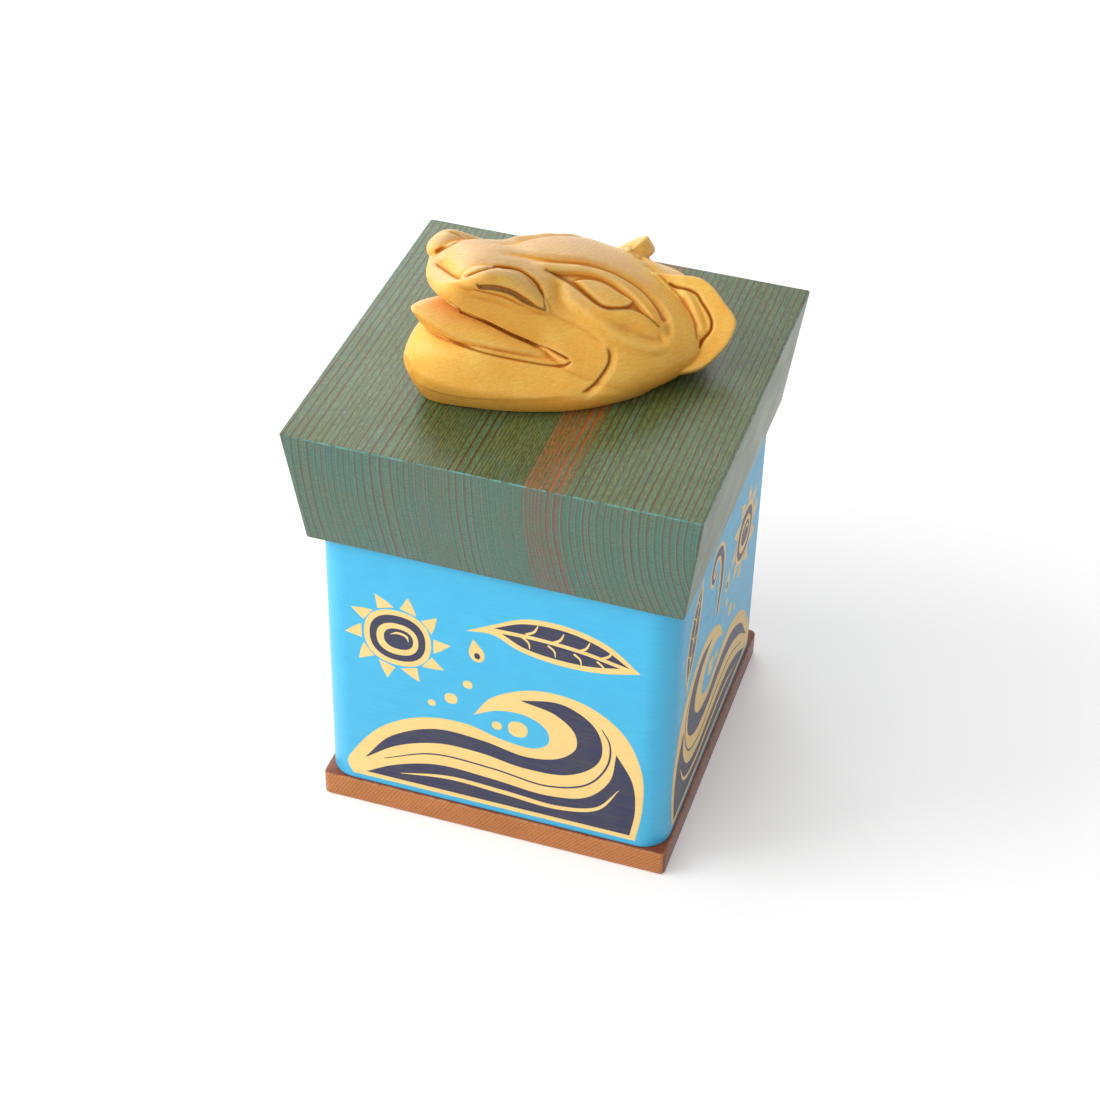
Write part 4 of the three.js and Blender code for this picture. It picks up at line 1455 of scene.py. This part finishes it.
JAW_EDGE = [(-54.5, -17.5), (-50, -21), (-42, -23.6), (-29, -25), (-16, -25), (-3.5, -24.3),
            (7, -23)]
LIP_GAP = [(-42.1, 8.2), (-36.6, 4.5), (-31, 2.1), (-25.5, -0.3), (-19.3, -3.4), (-13.8, -5.8),
           (-6.9, -8.9), (0.3, -12.4)]
TONGUE_GAP = [(-48.5, -1.5), (-41.5, -5), (-37, -7), (-29.5, -9.5), (-18, -12), (-5, -14),
              (-1.5, -14), (0.5, -12.5)]


def carve(head):
    wood = Carving(head)
    # the valleys round the eye
    wood.stroke(BROW_VALLEY, depth=1.5, left=2.6, right=3.4, crisp=False, ends=(0.4, 0.05))
    wood.stroke(EYE_END_VALLEY, depth=0.7, left=2.6, right=2.6, crisp=False, ends=(0.2, 0.3))
    wood.stroke(UNDER_EYE_VALLEY, depth=1.3, left=4.0, right=4.0, crisp=False, ends=(0.35, 0.2))
    # the ear
    wood.stroke(EAR_STEP, depth=1.0, left=5.0, right=1.2, crisp=False)
    wood.stroke(EAR_CREASE, depth=-1.5, left=2.6, right=2.6, crisp=False, ends=(0.2, 0.2))
    wood.stroke(EAR_GROOVE, depth=1.1, left=0.7, right=0.7, ends=(0.05, 0.05), dark=0.8)
    # the wing of the nostril, with the nostril under it
    wood.stroke(WING_GROOVE, depth=1.2, left=0.8, right=0.8, ends=(0.12, 0.03), dark=0.55)
    wood.stroke(WING_CROWN, depth=-0.7, left=2.2, right=3.0, crisp=False, ends=(0.3, 0.3))
    wood.stroke(WING_FOOT, depth=-0.7, left=1.2, right=2.4, crisp=False, ends=(0.3, 0.3))
    wood.stroke(WING_BACK, depth=1.0, left=4.0, right=4.0, crisp=False, ends=(0.4, 0.4))
    wood.sink(NOSTRIL_TOP, NOSTRIL_LOW, depth=1.5, upper_wall=2.4, lower_wall=0.5, lean=0.7, dark=1.0)
    # the brow, the socket and the eye that stands in it
    wood.stroke(BROW_RIDGE_FRONT, depth=-0.8, left=2.2, right=2.2, crisp=False, ends=(0.3, 0.3))
    wood.stroke(BROW_RIDGE_BACK, depth=-0.4, left=2.0, right=2.0, crisp=False, ends=(0.3, 0.2))
    wood.sink(SOCKET_TOP, SOCKET_LOW, depth=2.5, upper_wall=1.2, lower_wall=0.7, lean=0.62, dark=0.9)
    wood.sink(EYE_TOP, EYE_LOW, depth=-2.1, upper_wall=0.8, lower_wall=0.6, lean=0.5)
    # the cheek, the lip and the jaw
    wood.stroke(CHEEKBONE, depth=-0.8, left=3.4, right=3.4, crisp=False, ends=(0.2, 0.2))
    wood.stroke(LIP_EDGE, depth=0.45, left=1.2, right=4.0, crisp=False, ends=(0.2, 0.2))
    wood.stroke(JAW_CORNER, depth=1.1, left=2.6, right=0.6, ends=(0.25, 0.2), dark=0.6)
    wood.stroke(JAW_EDGE, depth=-0.35, left=5.0, right=1.4, ends=(0.15, 0.2))
    # the front of the nose, where it is seen
    wood.stroke(NOSE_CREST, depth=0.8, left=0.9, right=0.9, ends=(0.15, 0.3), dark=0.55, both=False)
    wood.stroke(NOSE_FOOT, depth=0.8, left=4.5, right=0.9, crisp=False, ends=(0.2, 0.15), dark=0.5,
                both=False)
    # the gaps above and below the tongue
    wood.stroke(LIP_GAP, depth=1.6, left=0.5, right=0.8, ends=(0.03, 0.03), dark=0.7)
    wood.stroke(TONGUE_GAP, depth=0.8, left=0.4, right=0.7, ends=(0.1, 0.03), dark=0.55)
    wood.finish()


def make_head():
    head = rough_head()
    carve(head)
    thin = head.modifiers.new("thin", "DECIMATE")
    thin.ratio = min(1, HEAD_FACES / (2 * len(head.data.polygons)))
    apply_modifiers(head)
    head.data.shade_smooth()
    head.data.transform(to_head().inverted())
    settle(head, "lid", "yellow_cedar", "carved_head")


make_head()


# Floor, light and background, in metres. The studio is brighter towards its bright side: its
# level is the light from square to that side, and its lean what is added straight towards it.
BOX_MIDDLE = 0.1
LAMP_DISTANCE = 1.45
LAMP_SIZE = 0.8
BRIGHT_SIDE = (-0.75, -0.45, 0.48)
STUDIO_LEVEL = 0.47
STUDIO_LEAN = 0.58
FLOOR_HALF = 3.0
FLOOR_PAINT = (0.865, 0.852, 0.85, 1)
FLOOR_GLOW = 0.215
WHITE = (1, 1, 1, 1)


def make_floor():
    """A pale floor that looks white in the open and keeps the box's shadow."""
    corners = [(x * FLOOR_HALF, y * FLOOR_HALF, 0) for x, y in ((-1, -1), (1, -1), (1, 1), (-1, 1))]
    mesh = bpy.data.meshes.new("floor")
    mesh.from_pydata(corners, [], [(0, 1, 2, 3)])
    material = bpy.data.materials.new("floor_white")
    material.use_nodes = True
    graph = Graph(material.node_tree)
    shader = material.node_tree.nodes["Principled BSDF"].inputs
    shader["Base Color"].default_value = FLOOR_PAINT
    shader["Roughness"].default_value = 0.9
    shader["Emission Color"].default_value = WHITE
    rays = graph.add("LightPath", {}).outputs
    seen = graph.math("MAXIMUM", rays["Is Camera Ray"], rays["Is Glossy Ray"])
    graph.put(shader["Emission Strength"], graph.math("MULTIPLY", seen, FLOOR_GLOW))
    floor = bpy.data.objects.new("floor", mesh)
    mesh.materials.append(material)
    bpy.context.scene.collection.objects.link(floor)


def make_world():
    """A white background, and a soft light that is stronger from the bright side."""
    world = bpy.data.worlds.new("studio")
    bpy.context.scene.world = world
    world.use_nodes = True
    graph = Graph(world.node_tree)
    background = world.node_tree.nodes["Background"].inputs
    rays = graph.add("LightPath", {}).outputs
    seen = graph.math("MAXIMUM", rays["Is Camera Ray"], rays["Is Transmission Ray"])
    seen = graph.math("MAXIMUM", seen, rays["Is Glossy Ray"])
    direction = graph.add("TexCoord", {}).outputs["Generated"]
    leaning = graph.add("VectorMath", {0: direction, 1: BRIGHT_SIDE}, operation="DOT_PRODUCT")
    light = graph.math("MULTIPLY", leaning.outputs["Value"], STUDIO_LEAN)
    light = graph.math("ADD", light, STUDIO_LEVEL)
    lighting = graph.math("MULTIPLY", light, graph.math("SUBTRACT", 1.0, seen))
    graph.put(background["Strength"], graph.math("ADD", lighting, seen))
    background["Color"].default_value = WHITE


def add_lamp(name, azimuth, elevation, power):
    """A square soft lamp that looks at the box from a direction given in degrees."""
    data = bpy.data.lights.new(name, "AREA")
    data.size = LAMP_SIZE
    data.energy = power
    lamp = bpy.data.objects.new(name, data)
    az, el = math.radians(azimuth), math.radians(elevation)
    away = Vector((math.cos(az) * math.cos(el), math.sin(az) * math.cos(el), math.sin(el)))
    lamp.location = away * LAMP_DISTANCE + Vector((0, 0, BOX_MIDDLE))
    lamp.rotation_euler = away.to_track_quat("Z", "Y").to_euler()
    bpy.context.scene.collection.objects.link(lamp)


make_floor()
make_world()
add_lamp("key", azimuth=205, elevation=40, power=10.5)
add_lamp("fill", azimuth=252, elevation=35, power=3)
add_lamp("back", azimuth=118, elevation=38, power=5)
bpy.context.scene.view_settings.view_transform = "Standard"
